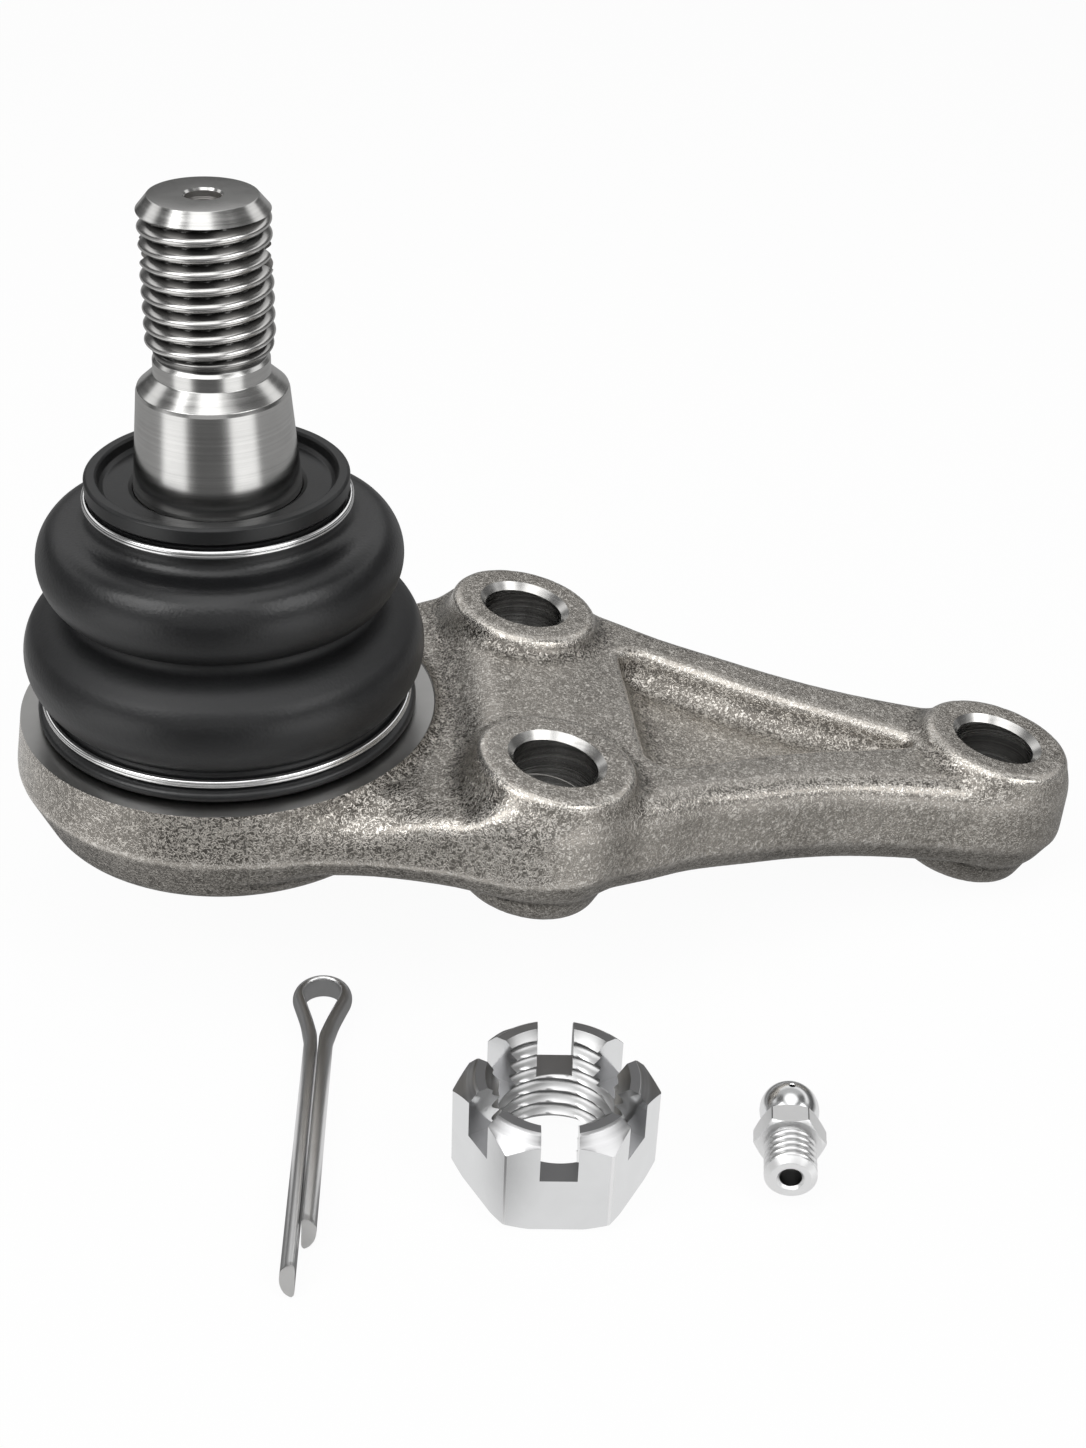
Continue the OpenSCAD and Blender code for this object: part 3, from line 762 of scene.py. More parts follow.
# a wire wound into a few turns, swept as a round tube
def coilTree():
    tree, given = newTree("wireCoil", [
        ("Turns", "Float", 2.0), ("Radius", "Float", 0.02), ("Height", "Float", 0.002),
        ("Wire radius", "Float", 0.0005), ("Lift", "Float", 0.0), ("Skin", "Material", None)])
    spiral = addNode(tree, "GeometryNodeCurveSpiral", in_Resolution=96, in_Rotations=given["Turns"],
                     in_Start_Radius=given["Radius"], in_End_Radius=given["Radius"], in_Height=given["Height"])
    section = addNode(tree, "GeometryNodeCurvePrimitiveCircle", in_Resolution=14,
                      in_Radius=given["Wire radius"])
    sweep = addNode(tree, "GeometryNodeCurveToMesh", in_Curve=spiral, in_Profile_Curve=section,
                    in_Fill_Caps=True)
    up = addNode(tree, "ShaderNodeCombineXYZ", in_Z=given["Lift"])
    lift = addNode(tree, "GeometryNodeTransform", in_Geometry=sweep, in_Translation=up)
    smooth = addNode(tree, "GeometryNodeSetShadeSmooth", addNode(tree, "GeometryNodeRealizeInstances", lift))
    skin = addNode(tree, "GeometryNodeSetMaterial", in_Geometry=smooth, in_Material=given["Skin"])
    addNode(tree, "NodeGroupOutput", skin)
    return tree


screwThread = threadTree()
wireCoil = coilTree()


def cutThread(piece, pitch, crest, root, low, high, fade, fullTop=0.0, fullBase=0.0):
    runTree(piece, screwThread, {"Pitch": pitch * mm, "Depth": (crest - root) * mm, "Low": low * mm,
                                 "High": high * mm, "Root": root * mm, "Fade": fade * mm,
                                 "Full top": fullTop, "Full base": fullBase})


arm = {
    "tilt": 10.5,
    "top": 19.0,
    "step": 0.72,
    "box": ((-38.5, -44.5, -34.5), (154.5, 44.5, 21.5)),
    "fall": 0.18534,  # the bolting plane's fall for each mm along x
    "partFall": 0.1853,
    "nearBoss": (54.0, 25.6),
    "tipBoss": 139.5,
    "bossHigh": (13.15, 0.14, 12),  # radius at the top, draft, depth
    "bossLow": (11.7, 0.34, 24.5, 14),  # radius at the foot, draft, foot, top
    "drum": (36.0, 2.6, 7.4, 12.7),  # radius, its depth, top, foot
    "hub": (21.2, 19.8, 4),  # radius, foot, top
    "railDrop": 3.0,
    "pocketDrop": 8.6,
    # half outline at the parting line: x, half width
    "outline": [(0, 34), (5, 35.2), (10, 35.0), (16, 35.0), (22, 35.3), (28, 36.3), (34, 37.8), (39, 39.5),
                (43.5, 40.9), (47, 41.6), (50.4, 41.7), (54, 41.1), (57.5, 39.5), (62.2, 36.2), (70.0, 32.2),
                (77.9, 28.0), (88.7, 24.0), (97.5, 20.9), (106.4, 18.5), (116.2, 16.9), (125.1, 16.2),
                (130.5, 16.2), (134.4, 16.0), (138.5, 15.4), (142.4, 13.8), (145.7, 11.3), (148.3, 8.0),
                (149.9, 4.1), (150.4, 0)],
    # half of the pocket's rim in the arm's own frame
    "pocket": [(71.3, 0), (71.3, 14.5), (72.0, 17.0), (74.0, 18.4), (77.0, 18.0), (86.5, 13.9), (95, 10.3),
               (104, 7.3), (113, 4.7), (120, 2.7), (123.4, 1.2), (124.0, 0)],
}
boltHole = {"radius": 7.0, "chamfer": 1.25, "length": 24.5, "ledge": 8.0, "ledgeStep": 0.09}
socket = {
    "faceZ": 6.0, "faceR": 35.1, "landR": 27.7, "landTop": 12.5,
    "inside": [(0, -21), (17.4, -21), (17.4, -19), (19.2, -19), (19.2, -17), (18.4, -17), (18.4, 6.5),
               (13.2, 6.5), (16.2, 12.5), (16.7, 13.5), (0, 13.5)],
}
tiltCos, tiltSin = math.cos(math.radians(arm["tilt"])), math.sin(math.radians(arm["tilt"]))


def smoothMax(a, b, k):
    h = np.clip(0.5 + 0.5 * (a - b) / k, 0, 1)
    return b + (a - b) * h + k * h * (1 - h)


def smoothMin(a, b, k):
    return -smoothMax(-a, -b, k)


def easeIn(low, high, value):
    u = np.clip((value - low) / (high - low), 0, 1)
    return u * u * (3 - 2 * u)


# a smooth curve through given points
def curveThrough(points, steps):
    p = np.array([points[0]] + list(points) + [points[-1]], float)
    out = []
    for a, b, c, d in zip(p, p[1:], p[2:], p[3:]):
        for u in np.arange(steps) / steps:
            out.append(tuple(0.5 * ((2 * b) + (c - a) * u + (2 * a - 5 * b + 4 * c - d) * u ** 2
                                    + (3 * b - a - 3 * c + d) * u ** 3)))
    return out + [tuple(p[-2])]


# signed distance to a mirrored half outline, kept as a table that is looked up
class OutlineTable:
    def __init__(self, half, low, high, wide, step=0.4):
        pts = curveThrough(half, 5)
        self.low, self.step = low, step
        gx, gy = np.meshgrid(np.arange(low, high + step, step), np.arange(0, wide + step, step), indexing="ij")
        best = np.full(gx.shape, 1e9)
        inside = np.zeros(gx.shape, bool)
        for mirror in (1, -1):
            for (ax, ay), (bx, by) in zip(pts[:-1], pts[1:]):
                ay, by = ay * mirror, by * mirror
                ex, ey = bx - ax, by - ay
                u = np.clip(((gx - ax) * ex + (gy - ay) * ey) / (ex * ex + ey * ey + 1e-12), 0, 1)
                best = np.minimum(best, np.hypot(gx - ax - u * ex, gy - ay - u * ey))
        ring = [(pts[0][0], -1.0)] + pts + [(pts[-1][0], -1.0)]
        for (ax, ay), (bx, by) in zip(ring, ring[1:] + ring[:1]):
            if ay != by:
                inside ^= ((ay > gy) != (by > gy)) & (gx < (bx - ax) * (gy - ay) / (by - ay) + ax)
        self.table = np.where(inside, -best, best)

    def at(self, s, t):
        u = np.clip((s - self.low) / self.step, 0, self.table.shape[0] - 1.001)
        v = np.clip(t / self.step, 0, self.table.shape[1] - 1.001)
        i, j = u.astype(int), v.astype(int)
        u, v = u - i, v - j
        tab = self.table
        return ((tab[i, j] * (1 - u) + tab[i + 1, j] * u) * (1 - v)
                + (tab[i, j + 1] * (1 - u) + tab[i + 1, j + 1] * u) * v)


outlineTable = OutlineTable(arm["outline"], -10, 160, 60)
pocketTable = OutlineTable(arm["pocket"], 60, 135, 30)


# negative inside the forging; all in mm
def forgingField(x, y, z):
    fall, partFall = arm["fall"], arm["partFall"]
    t = np.abs(y)
    r = np.hypot(x, y)
    s = x * tiltCos - (z - arm["top"]) * tiltSin
    w = x * tiltSin + (z - arm["top"]) * tiltCos
    over = z - np.where(x < 50, -2.8 - 0.04 * x, -4.8 - partFall * (x - 50))  # above the parting line
    beam = easeIn(36, 50, x)
    side = outlineTable.at(x - over * partFall * beam, t)
    side = side - 0.25 * beam * (1 - easeIn(118, 140, x))
    side = side + 0.15 * np.maximum(over, 0) + (0.5 - 0.08 * beam) * np.maximum(-over, 0)
    # the top dips beside the drum and rises to the bolting plane
    dip = 4.0 * np.exp(-((x - 19.5) / 10.0) ** 2) * easeIn(27.0, 36.5, t)
    neck = 5.0 - dip
    topZ = neck + (16.2 - fall * x - neck) * easeIn(37.0, 45.5, x)
    lowZ = np.where(x < 50, -7.1 - 0.046 * x, -0.12 - fall * x)
    body = smoothMax(side, (z - topZ) * 0.97, 2.4 + 1.6 * beam)
    body = smoothMax(body, lowZ - z, 1.3)
    # the drum of the socket, its hub and the neck the boot grips
    radius, widest, top, foot = arm["drum"]
    drum = smoothMax(r - (radius - 0.151 * (z + widest)), r - (radius + 0.44 * (z + widest)), 0.35)
    drum = smoothMax(smoothMax(drum, z - top, 0.8), -foot - z, 2.2)
    body = smoothMin(body, drum, 2.6)
    radius, foot, top = arm["hub"]
    body = smoothMin(body, smoothMax(smoothMax(r - radius, -foot - z, 1.6), z + top, 1), 2.4)
    body = np.minimum(body, smoothMax(smoothMax(r - socket["landR"], z - socket["landTop"], 0.8), -z, 1))
    # pocket between the rails
    pocket = pocketTable.at(s, t) + 0.15 * np.maximum(-arm["railDrop"] - w, 0)
    pocket = smoothMax(pocket, -arm["pocketDrop"] - w, 5.0)
    body = smoothMax(body, -pocket, 1.7)
    # bosses, proud above and below
    for sb, tb in (arm["nearBoss"], (arm["tipBoss"], 0.0)):
        rb = np.hypot(s - sb, t - tb)
        radius, draft, depth = arm["bossHigh"]
        high = smoothMax(smoothMax(rb - (radius - draft * w), w, 1.1), -depth - w, 1)
        radius, draft, foot, top = arm["bossLow"]
        low = smoothMax(smoothMax(rb - (radius + draft * (w + foot)), -foot - w, 1.4), w + top, 1)
        body = smoothMin(smoothMin(body, high, 3.2), low, 1.4)
    return body


# naive surface nets: one point in each crossed cell, one quad for each crossed edge
def surfaceNet(field, low, step):
    inside = field < 0
    shape = tuple(n - 1 for n in field.shape)
    total = np.zeros(shape, np.int8)
    corners = [(i, j, k) for i in (0, 1) for j in (0, 1) for k in (0, 1)]
    for i, j, k in corners:
        total += inside[i:i + shape[0], j:j + shape[1], k:k + shape[2]]
    ci, cj, ck = np.nonzero((total > 0) & (total < 8))
    index = np.full(shape, -1, np.int64)
    index[ci, cj, ck] = np.arange(len(ci))
    value = {c: field[ci + c[0], cj + c[1], ck + c[2]] for c in corners}
    place, count = np.zeros((len(ci), 3)), np.zeros(len(ci))
    for a in corners:
        for axis in range(3):
            if a[axis]:
                continue
            b = tuple(a[n] + (n == axis) for n in range(3))
            fa, fb = value[a], value[b]
            hit = (fa < 0) != (fb < 0)
            u = np.where(hit, fa / np.where(hit, fa - fb, 1), 0)
            for n in range(3):
                place[:, n] += np.where(hit, a[n] + (u if n == axis else 0), 0)
            count += hit
    points = (np.stack((ci, cj, ck), 1) + place / count[:, None]) * step + np.array(low)
    quads = []
    for axis in range(3):
        o1, o2 = [n for n in range(3) if n != axis]
        here = [slice(1, -1)] * 3
        ahead = list(here)
        here[axis], ahead[axis] = slice(0, -1), slice(1, None)
        a, b = inside[tuple(here)], inside[tuple(ahead)]
        for flip in (False, True):
            base = list(np.nonzero((a & ~b) if not flip else (~a & b)))
            base[o1], base[o2] = base[o1] + 1, base[o2] + 1
            cells = []
            for d1, d2 in ((1, 1), (0, 1), (0, 0), (1, 0)):
                cell = list(base)
                cell[o1], cell[o2] = cell[o1] - d1, cell[o2] - d2
                cells.append(index[tuple(cell)])
            face = np.stack(cells, 1)
            quads.append(face[:, ::-1] if flip != (axis == 1) else face)
    return points, np.concatenate(quads)


def forgingShell():
    low, high = arm["box"]
    step = arm["step"]
    axes = [np.arange(a, b + step, step) for a, b in zip(low, high)]
    points, quads = surfaceNet(forgingField(*np.meshgrid(*axes, indexing="ij")), low, step)
    # two steps onto the true surface
    for _ in range(2):
        f = forgingField(*points.T)
        grad = np.stack([(forgingField(*(points + d).T) - f) / 0.05 for d in np.eye(3) * 0.05], 1)
        size = (grad ** 2).sum(1) + 1e-9
        points -= np.clip(f / size, -0.6, 0.6)[:, None] * grad
    return points, quads


# how convex (+) or hollow (-) the forging is at a point: edges made paler, as wear and a painted highlight, and
# hollows darker as painted shade and duller
def edgeWearAndShade(points, reach=0.95):
    around = 0
    for d in np.eye(3) * reach:
        around = around + forgingField(*(points + d).T) + forgingField(*(points - d).T)
    bend = (around - 6 * forgingField(*points.T)) / (reach * reach)
    return np.clip(bend * 1.5, -1, 1)


# a cutter for one bolt hole, at (s, t) on the bolting plane
def boltCutter(s, t):
    r, c, length = boltHole["radius"], boltHole["chamfer"], boltHole["length"]
    ledge, step = boltHole["ledge"], boltHole["ledgeStep"]
    profile = [(0, -length - 2), (r + c + 2, -length - 2), (r + c, -length), (r, -length + c),
               (r, -ledge - step), (r + step, -ledge), (r + step, -c + step), (r + c, 0), (r + c + 2, 2), (0, 2)]
    # the ledge inside the bore takes the dark plate skin, a painted shade
    piece = lathe("boltCutter", profile, ["forged", "bore", "chamfer", "plate"],
                  [2, 2, 2, 1, 3, 1, 2, 2, 2], 160)
    piece.data.transform(shift(s * tiltCos, t, arm["top"] - s * tiltSin) @ turned(arm["tilt"], "Y"))
    return piece


def makeForging():
    points, quads = forgingShell()
    shell = linkMesh("forging", points * mm, quads, ["forged", "machined", "bore", "chamfer", "plate"])
    fixNormals(shell)
    say("forging net of %d quads" % len(quads))
    sb, tb = arm["nearBoss"]
    land, face, faceZ = socket["landR"], socket["faceR"], socket["faceZ"]
    ring = lathe("ringCutter", [(land, faceZ), (face - 0.35, faceZ), (face, faceZ + 0.3), (face + 0.6, 16),
                                (land, 16)],
                 ["forged", "machined", "bore", "chamfer"], [1, 3, 1, 1, 1], 192, closed=True)
    bore = lathe("socketCutter", socket["inside"], ["forged", "machined"], [1] * 10, 96)
    boolean(shell, joinMeshes([ring, bore, boltCutter(sb, -tb), boltCutter(sb, tb),
                               boltCutter(arm["tipBoss"], 0)]))
    markPoints(shell, "edgeWearAndShade", edgeWearAndShade(readPoints(shell) / mm))
    markPoints(shell, "steepness", 1 - np.abs(readPoints(shell, "normal")[:, 2]))
    smoothShade(shell, 40)
    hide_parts("forged_arm")
    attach(shell, "arm")


makeForging()
say("forged arm")

stud = {
    "ball": 15.0, "neck": 8.5, "shank": 11.0, "taper": 13.4, "shoulderZ": 63.5, "shoulder": 11.75,
    "under": 9.05, "root": 8.62, "rootZ": 68.6, "crest": 10.0, "end": 93.5, "endChamfer": 2.1, "endR": 8.25,
    "pitch": 2.5, "holeR": 2.8, "cotterR": 2.5, "cotterZ": 84.5,
    # the stepped hole in its end: radius, depth, fillet
    "hole": [(2.75, 0.35, 0), (2.7, 1.3, 0.1), (2.2, 1.45, 0.1), (2.05, 2.3, 0.1), (1.6, 2.45, 0.1),
             (1.5, 4.6, 0.1), (0, 5.6, 0)],
}


def makeStud():
    s = stud
    skins = ["stud", "thread", "studDark", "ball"]
    profile, bands = [], []

    def add(points, band):
        profile.extend(points)
        bands.extend([band] * len(points))

    neckAngle = math.asin(s["neck"] / s["ball"])
    add([(s["ball"] * math.sin(a), -s["ball"] * math.cos(a))
         for a in np.linspace(0, math.pi - neckAngle, 40)], 3)
    add(rounded([(s["neck"], 13.5, 0), (s["neck"], 21.0, 3), (s["shank"], 26.0, 2), (s["shank"], 38.0, 0)]), 0)
    # a dark band under the taper, a painted shade below the collar, then the taper and its bright edge
    add([(s["shank"], 38.0), (s["taper"] - 0.4, 39.9), (s["taper"], 40.4)], 2)
    add([(s["taper"], 46.4), (s["taper"] - 0.02, 46.9), (s["taper"] - 0.28, 49.6)], 0)
    add(rounded([(s["taper"] - 0.28, 49.6, 0), (s["shoulder"] + 0.15, s["shoulderZ"] - 0.6, 0.05),
                 (s["shoulder"] - 0.05, s["shoulderZ"], 0.25), (s["under"], 65.9, 0.25),
                 (s["under"], 68.1, 0.15), (s["root"], s["rootZ"], 0)]), 0)
    top = s["end"] - s["endChamfer"]
    rows = int((top - s["rootZ"]) / s["pitch"] * 18)
    add([(s["root"], s["rootZ"] + (top - s["rootZ"]) * i / rows) for i in range(1, rows + 1)], 1)
    bands[-1] = 0
    add(rounded([(s["crest"] - 0.02, top + 0.02, 0), (s["endR"], s["end"], 0.12),
                 (s["holeR"] + 0.25, s["end"], 0)]), 0)
    # the end hole takes the dark band's skin, a painted shade
    add(rounded([(r, s["end"] - deep, fillet) for r, deep, fillet in s["hole"]]), 2)
    profile[-1] = (0, profile[-1][1])
    piece = lathe("stud", profile, skins, bands[:-1], 160)
    cutThread(piece, s["pitch"], s["crest"], s["root"], 69.0, top, 1.6, fullTop=1.0)
    # the cotter hole's wall takes the dark skin too, a painted shade
    drill = lathe("cotterDrill", [(0, -14), (s["cotterR"], -14), (s["cotterR"], 14), (0, 14)],
                  skins, [2, 2, 2], 48)
    drill.data.transform(shift(0, 0, s["cotterZ"]) @ turned(90, "Y"))
    boolean(piece, drill)
    smoothShade(piece, 32)
    markCrest(piece, s["root"], s["crest"])
    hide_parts("ball_stud")
    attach(piece, "stud")


makeStud()
say("ball stud")

boot = {
    "lowFold": (24.2, 18.0, 8.8, (-52, 36)), "upFold": (22.0, 34.6, 7.6, (-46, 44)), "seamZ": 29.6,
    "waist": [(29.7, 24.75), (28.3, 25.5), (26.9, 25.85), (25.6, 26.05), (24.8, 26.6), (24.5, 27.35),
              (24.85, 28.1), (25.9, 28.5)],
    "wall": 2.1, "foot": 6.3, "top": 45.9, "lipUp": 20.3, "lipLow": 29.6, "footR": 31.6,
    # the inside stays clear of the arm's neck below one height and of the collar's sleeve above another
    "neckClear": (28.05, 12.8), "sleeveClear": (17.65, 39.5),
}


def foldArc(fold, count=26):
    r, z, radius, (start, stop) = fold
    return [(r + radius * math.cos(math.radians(a)), z + radius * math.sin(math.radians(a)))
            for a in np.linspace(start, stop, count)]


# eased bridge between the ends of two runs of points
def blendCorner(first, second, count, pull):
    a, b = np.array(first[-1]), np.array(second[0])
    da, db = a - np.array(first[-2]), np.array(second[1]) - b
    da, db = da / np.linalg.norm(da), db / np.linalg.norm(db)
    reach = np.linalg.norm(b - a) * pull
    return [tuple((1 - u) ** 3 * a + 3 * (1 - u) ** 2 * u * (a + da * reach)
                  + 3 * (1 - u) * u * u * (b - db * reach) + u ** 3 * b)
            for u in np.linspace(0, 1, count + 2)[1:-1]]


def bootOutside():
    footR, foot, lipLow, lipUp, top = (boot[key] for key in ("footR", "foot", "lipLow", "lipUp", "top"))
    lip = [(footR - 1.4, foot), (footR - 0.5, foot + 0.05), (footR, foot + 0.6), (footR, foot + 1.2),
           (footR - 0.5, foot + 1.75), (lipLow + 0.3, foot + 1.9), (lipLow, foot + 2.2), (lipLow, foot + 3.6)]
    neckTop = [(lipUp + 0.15, 42.4), (lipUp, 43.0), (lipUp, top - 0.3), (lipUp - 0.4, top), (lipUp - 1.6, top)]
    low, up = foldArc(boot["lowFold"]), foldArc(boot["upFold"])
    waist = curveThrough([low[-1]] + boot["waist"] + [up[0]], 4)[1:-1]
    return (lip + blendCorner(lip, low, 5, 0.35) + low, waist, up + blendCorner(up, neckTop, 6, 0.4) + neckTop)


# the same run one wall thickness further in
def bootInside(points):
    out = []
    for i, p in enumerate(points):
        a, c = np.array(points[max(i - 1, 0)]), np.array(points[min(i + 1, len(points) - 1)])
        d = (c - a) / (np.linalg.norm(c - a) + 1e-9)
        out.append((p[0] - d[1] * boot["wall"], p[1] + d[0] * boot["wall"]))
    return out


def makeBoot():
    low, middle, up = bootOutside()
    whole = low[3:] + middle + up[:-2]
    seam = next(i for i, (r, z) in enumerate(whole) if z > boot["seamZ"])
    neckR, neckZ = boot["neckClear"]
    sleeveR, sleeveZ = boot["sleeveClear"]
    for name, run in (("bootLower", whole[:seam + 1]), ("bootUpper", whole[seam:])):
        inner = [(max(r, neckR if z < neckZ else 0.0), max(z, boot["foot"] + 0.01)) for r, z in bootInside(run)]
        if name == "bootUpper":
            inner = [(max(r, sleeveR) if z > sleeveZ else r, min(z, boot["top"])) for r, z in inner]
            outer = run + up[-2:]
        else:
            outer = low[:3] + run
        piece = lathe(name, outer + inner[::-1], ["rubber"], None, 160, closed=True)
        smoothShade(piece, 50)
        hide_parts("dust_boot")
        if name == "bootLower":
            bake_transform(piece)
        else:
            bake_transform(piece)


makeBoot()
say("boot")

collar = {"outer": 21.0, "low": 46.2, "top": 49.0, "rim": 18.9, "dish": 46.9, "bore": 13.46,
          "sleeve": 17.3, "sleeveLow": 41.0}


def makeCollar():
    outer, low, top, rim, dish, bore, sleeve, sleeveLow = collar.values()
    corners = [(bore, sleeveLow, 0), (sleeve - 0.5, sleeveLow, 0.2), (sleeve, sleeveLow + 0.5, 0.2),
               (sleeve, low, 0.1), (outer - 0.3, low, 0.15), (outer, low + 0.35, 0.25),
               (outer, top - 0.4, 0.35), (outer - 0.45, top, 0.3), (rim + 0.35, top, 0.3), (rim, top - 0.4, 0.3),
               (rim - 0.25, dish + 0.5, 0.4), (rim - 0.9, dish, 0.5), (bore + 0.7, dish - 0.05, 0.25),
               (bore, dish - 0.4, 0.2), (bore, sleeveLow + 0.2, 0)]
    piece = lathe("collar", rounded(corners, 4), ["collar"], None, 160, closed=True)
    smoothShade(piece, 40)
    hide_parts("boot_collar")
    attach(piece, "collar")


makeCollar()

clips = {
    "turns": 1.94, "height": 0.93, "wireR": 0.49,
    "places": [  # piece, node, body, radius, lowest turn
        ("upperClip", "upper_clip", "collar", 21.1, 44.45),
        ("lowerClip", "lower_clip", "arm", 30.4, 8.9),
    ],
}


def makeClips():
    for name, node, body, radius, low in clips["places"]:
        piece = linkMesh(name, [(0, 0, 0)], [], ["wire"])
        runTree(piece, wireCoil, {"Turns": clips["turns"], "Radius": radius * mm,
                                  "Height": clips["height"] * mm, "Wire radius": clips["wireR"] * mm,
                                  "Lift": low * mm, "Skin": materials["wire"]})
        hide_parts(node)
        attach(piece, body)


makeClips()
say("collar and clips")

nut = {"flats": 27.0, "height": 17.7, "crown": 3.0, "crownR": 12.6, "slotWide": 5.5, "slotDeep": 8.0,
       "crest": 8.65, "root": 10.0, "pitch": 2.5, "lowSink": 0.25, "highSink": 0.75, "bevel": 0.3, "soft": 0.2,
       "coneFrom": 11.5, "softFrom": 10.25, "place": (48.4, -74.3, -32.4), "turn": -5.0,
       "skins": ["zinc", "zincThread", "zincEdge", "zincLine", "zincSlot", "zincCone"]}


def makeNut():
    n = nut
    corner, high, crownR, skins = n["flats"] / math.sqrt(3), n["height"], n["crownR"], n["skins"]
    outline = [(0, 0, 0), (corner - 1.5, 0, 0.3), (corner, 0.9, 0.3), (corner, high - n["crown"] - 0.2, 0.1),
               (crownR + 1.0, high - 1.4, 1.5), (crownR, high - 0.25, 0.5), (crownR - 0.35, high, 0.25),
               (0, high, 0)]
    body = lathe("nut", rounded(outline), skins, None, 180)
    # the hexagon's bevelled corners take the pale edge skin, a painted highlight
    cutHexagon(body, corner, -20, 20, n["bevel"], 3, 2, skins)
    # the tap has the countersinks at both ends in it
    lowSink, highSink = n["root"] + n["lowSink"], n["root"] + n["highSink"]
    rows = [(max(n["crest"], lowSink - z, highSink - (high - z)), z)
            for z in np.arange(-1.5, high + 1.55, n["pitch"] / 12)]
    tap = lathe("nutTap", [(0, rows[0][1])] + rows + [(0, rows[-1][1])], skins, [1] * (len(rows) + 1), 144)
    cutThread(tap, n["pitch"], n["root"], n["crest"], -5, 40, 0.1)
    boolean(body, tap)
    half, floorZ = n["slotWide"] / 2, high - n["slotDeep"]
    for turn in (30, 90, 150):
        corners = [(x * mm, y * mm, z * mm)
                   for x in (-30, 30) for y in (-half, half) for z in (floorZ, floorZ + 20)]
        walls = [(0, 1, 3, 2), (4, 6, 7, 5), (0, 4, 5, 1), (2, 3, 7, 6), (1, 5, 7, 3), (0, 2, 6, 4)]
        # the slot's floor takes the dark slot skin, a painted shade
        slot = linkMesh("slot", corners, walls, skins, [0] * 5 + [4])  # the last is the slot's floor
        slot.data.transform(turned(turn, "Z"))
        boolean(body, slot)
    for face in body.data.polygons:
        # the crown's flat top takes the dark slot skin, a painted shade
        if face.normal.z > 0.99 and face.center.z > (high - 0.02) * mm:
            face.material_index = 4
        # cone faces that point up take the darker cone skin, a painted shade
        elif face.normal.z > 0.35 and face.center.xy.length > n["coneFrom"] * mm and face.material_index == 0:
            face.material_index = 5
    # the crown's and slots' sharp edges get dark bevels, a painted shade line
    softenEdges(body, n["soft"], n["softFrom"], 3)
    smoothShade(body, 40)
    weighNormals(body)
    markCrest(body, n["root"], n["crest"])
    body.data.transform(shift(*n["place"]) @ turned(n["turn"], "Z"))
    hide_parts("castle_nut")
    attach(body, "nut")


makeNut()
say("castle nut")

pin = {"thick": 4.4, "long": 51.0, "step": 9.0, "eye": 3.05, "gap": 0.14, "eyeWire": 0.84, "reach": 10.4,
       "bend": 7.0, "slant": 0.62, "place": (13.4, -46.9, -30.2), "turn": -4.7}


# centre line of one half, in the floor's plane: leg, outward bend, flare, half the eye
def pinPath(leg):
    eye, reach, bend = pin["eye"], pin["reach"], pin["bend"]
    flare = math.asin(eye / reach)
    lead = bend * math.tan(flare / 2)
    path = [(0.0, y) for y in np.linspace(-leg, -lead - 0.01, 26)]
    path += [(bend - bend * math.cos(a), -lead + bend * math.sin(a)) for a in np.linspace(0, flare, 9)]
    start, away = np.array(path[-1]), np.array((math.sin(flare), math.cos(flare)))
    run = reach * math.cos(flare) - lead
    path += [tuple(start + away * run * u) for u in np.linspace(0.1, 1, 9)]
    path += [(eye * math.cos(a), reach + eye * math.sin(a)) for a in np.linspace(-flare, math.pi / 2, 22)[1:]]
    return path


def makePinHalf(name, leg, side):
    # half-round section: flat towards the other leg, round outwards, edges softened
    r = pin["thick"] / 2
    flat = [(0.28, -r * 0.945), (0.12, -r * 0.88), (0.02, -r * 0.78), (0.0, -r * 0.68)]
    section = flat + [(0.0, v) for v in (-0.8, 0.0, 0.8)] + [(u, -v) for u, v in flat[::-1]]
    section += [(r * math.cos(a), r * math.sin(a)) for a in np.radians(np.linspace(78, -78, 21))]
    path = pinPath(leg)
    end, m = len(path) - 1, len(section)
    points, faces = [], []
    for i, (x, y) in enumerate(path):
        a, b = np.array(path[max(i - 1, 0)]), np.array(path[min(i + 1, end)])
        d = (b - a) / np.linalg.norm(b - a)
        out = (0.0, 1.0) if i == end else (d[1], -d[0])
        thin = 1 + (pin["eyeWire"] - 1) * float(easeIn(0.0, 6.0, y))
        apart = pin["gap"] * float(1 - easeIn(0.0, 4.0, y))
        for u, v in section:
            slant = (v + r) * pin["slant"] if i == 0 else 0.0
            px, py = x + apart + out[0] * u * thin, y + out[1] * u * thin + slant
            points.append((side * (0.0 if i == end else px) * mm, py * mm, v * mm))
    for i in range(end):
        for k in range(m):
            n = (k + 1) % m
            faces.append((i * m + k, i * m + n, (i + 1) * m + n, (i + 1) * m + k))
    faces += [tuple(range(m)), tuple(range(end * m, (end + 1) * m))[::-1]]
    return linkMesh(name, points, faces, ["pin", "pinCut"], [0] * (len(faces) - 2) + [1, 1])


def makePin():
    piece = joinMeshes([makePinHalf("cotterPin", pin["long"] - pin["step"], 1),
                        makePinHalf("otherHalf", pin["long"], -1)])
    fixNormals(piece, merge=0)  # the halves touch at the eye and stay apart
    smoothShade(piece, 38)
    piece.data.transform(shift(*pin["place"]) @ turned(pin["turn"], "Z"))
    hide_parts("cotter_pin")
    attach(piece, "pin")


makePin()
say("cotter pin")

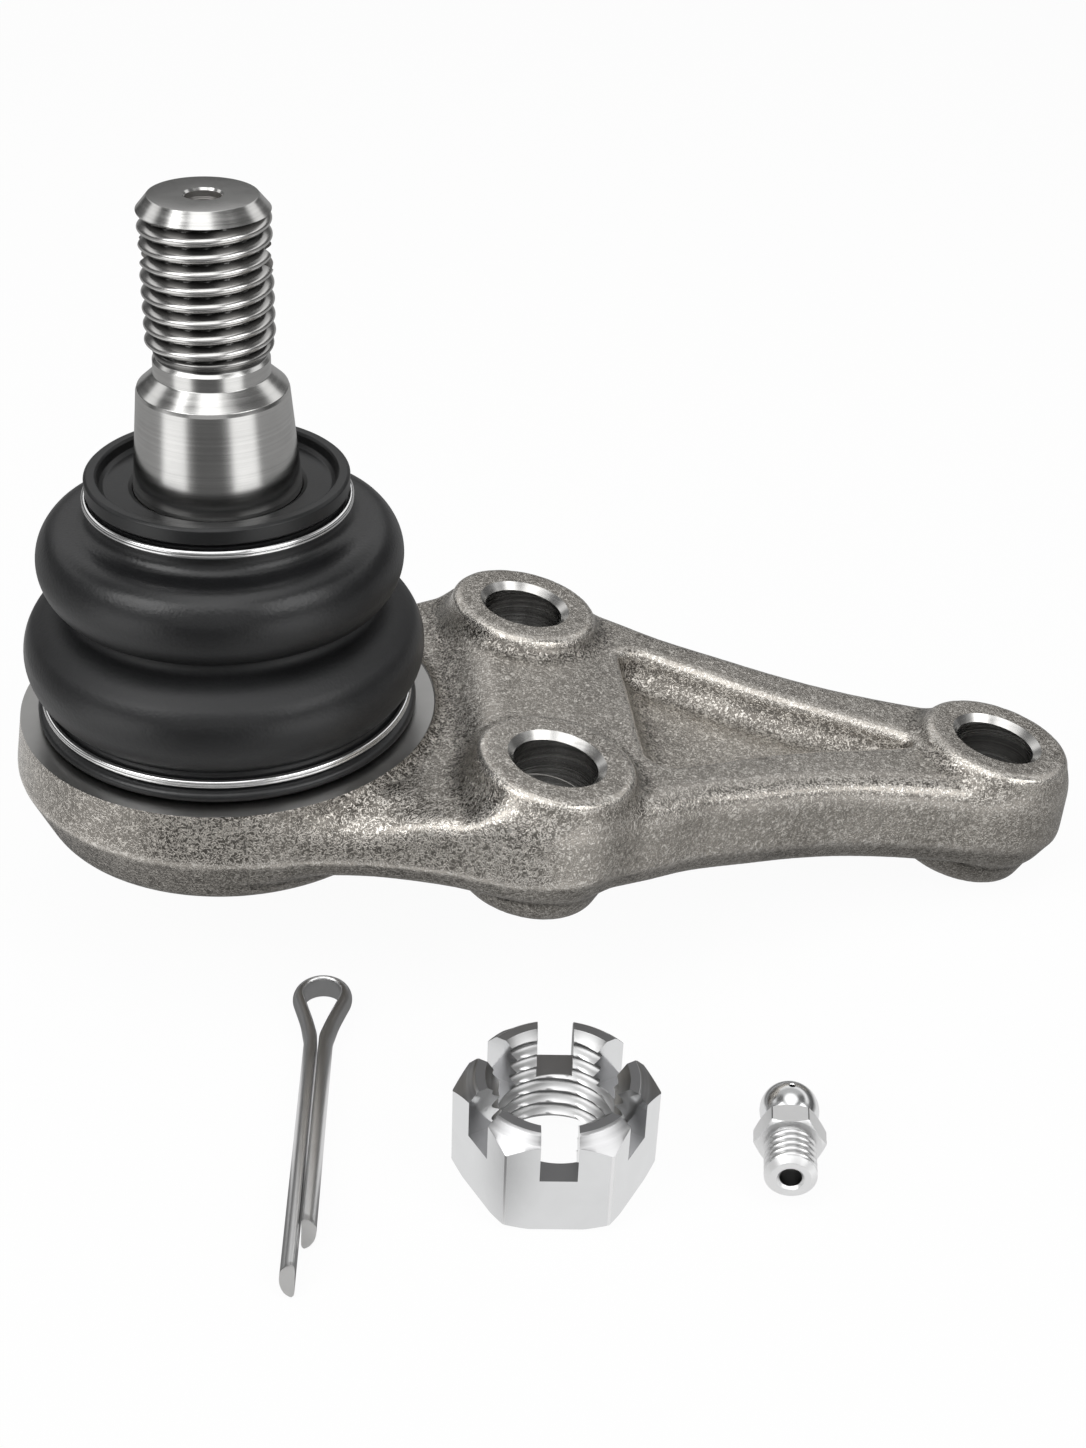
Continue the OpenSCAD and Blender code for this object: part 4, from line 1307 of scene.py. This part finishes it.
fitting = {"thread": 4.0, "root": 3.42, "pitch": 1.25, "hexLow": 7.4, "hexHigh": 3.8, "flats": 9.6, "neck": 3.1,
           "head": 4.6, "headZ": 15.4, "long": 20.4, "hole": 1.7, "nose": 0.9, "place": (84.2, -76.6),
           "floor": -32.4, "turn": 168.2, "lean": -2.5, "roll": -4.8, "bevel": 0.12, "soft": 0.14,
           # the small round hole on the head's upper side: its angle from the axis, radius and height
           "dimpleAngle": 81.0, "dimpleDeep": 0.05,
           "dimple": [(0, -0.7), (0.42, -0.7), (0.46, -0.12), (0.62, 0.08), (0.62, 0.6), (0, 0.6)],
           "skins": ["zincSoft", "zincThread", "zincEdge", "zincBall", "zincLine"]}


def makeFitting():
    f = fitting
    skins, root, hole, nose, neck = (f[key] for key in ("skins", "root", "hole", "nose", "neck"))
    low, high, corner = f["hexLow"], f["hexLow"] + f["hexHigh"], f["flats"] / math.sqrt(3)
    # the bored nose of the thread, the thread, the part inside the hexagon, the head
    rows = [(root, z) for z in np.arange(0.85, low - 0.7, f["pitch"] / 14)]
    profile = [(0, 4.0), (hole, 4.0), (hole, 0.45)]
    profile += rounded([(hole, 0.45, 0), (hole + 0.4, 0, 0.15), (neck, 0, 0.2),
                        (f["thread"] - 0.02, 0.82, 0)], 3)
    # the bore takes the thread's skin at its root tone, a painted shade in the hole
    bands = [1, 1] + [0] * (len(profile) - 2) + [1] * len(rows) + [0] * 4
    profile += rows + [(root, low - 0.5), (root, low + 1.0)]
    head = [(f["head"] * math.cos(a), f["headZ"] + f["head"] * math.sin(a))
            for a in np.linspace(-math.acos(neck / f["head"]), math.acos(hole / f["head"]), 26)]
    tail = [(neck, low + 1.2), (neck, high - 0.4)] + head[:-1]
    tail += rounded([head[-1] + (0,), (nose + 0.5, f["long"], 0.15), (nose, f["long"] - 0.35, 0.1),
                     (nose, f["long"] - 1.2, 0)], 3) + [(0, f["long"] - 1.2)]
    bands += [3] * (len(tail) - 3)
    piece = lathe("fitting", profile + tail, skins, bands, 112)
    cutThread(piece, f["pitch"], f["thread"], root, 0.8, low - 0.6, 0.8, fullBase=1.0)
    flat = f["flats"] / 2 + 0.05
    blank = lathe("fittingHex", rounded([(0, low, 0), (flat, low, 0.1), (corner, low + 0.55, 0.1),
                                         (corner, high - 0.55, 0.1), (flat, high, 0.1), (0, high, 0)], 3),
                  skins, None, 132)
    blank.data.transform(Matrix.Rotation(0.004, 4, "Z"))  # so that no edge lies in another's plane
    # the hexagon's corners take the dark edge skin, a painted shade
    cutHexagon(blank, corner, low - 4, low + 8, f["bevel"], 2, 4, skins)
    # the other sharp edges get pale bevels, a painted highlight
    softenEdges(blank, f["soft"], f["flats"] / 2, 2, 20)
    boolean(piece, blank, "UNION")
    # the hole's floor and wall take the dark edge skin as painted shade, its rim the pale one as a painted
    # highlight
    dimple = lathe("dimple", f["dimple"], skins, [4, 4, 2, 2, 2], 40)
    dimple.data.transform(shift(0, 0, f["headZ"]) @ turned(-f["roll"], "Z") @ turned(-f["dimpleAngle"], "X")
                          @ shift(0, 0, f["head"] - f["dimpleDeep"]))
    boolean(piece, dimple)
    smoothShade(piece, 32)
    weighNormals(piece)
    markCrest(piece, root - 0.1, f["thread"])
    # laid on a corner of the hexagon, leaning onto the end of its thread
    rest = corner * math.cos(math.radians(30 + f["roll"]))
    piece.data.transform(shift(*f["place"], f["floor"] + rest) @ turned(f["turn"], "Z")
                         @ turned(90 - f["lean"], "X") @ turned(f["roll"], "Z")
                         @ shift(0, 0, -(low + high) / 2))
    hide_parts("grease_fitting")
    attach(piece, "fitting")


makeFitting()
say("grease fitting")

# the solids that stay, inside the joint
stayLook = {"upper_seat": "bearing", "lower_seat": "bearing", "disc_spring": "spring",
            "closing_plate": "plate", "check_ball": "ball"}
for node, skin in stayLook.items():
    nodes[node].data.materials.clear()
    nodes[node].data.materials.append(materials[skin])


# a copy of the valve's spring, which in the real fitting shortens as the ball opens
def makeValveSpring():
    piece = putIn("valveSpring", nodes["check_spring"].data.copy())
    piece.data.materials.clear()
    piece.data.materials.append(materials["spring"])
    fixNormals(piece)
    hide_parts("check_spring")
    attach(piece, "fitting")
    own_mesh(piece)


makeValveSpring()

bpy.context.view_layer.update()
say("done")
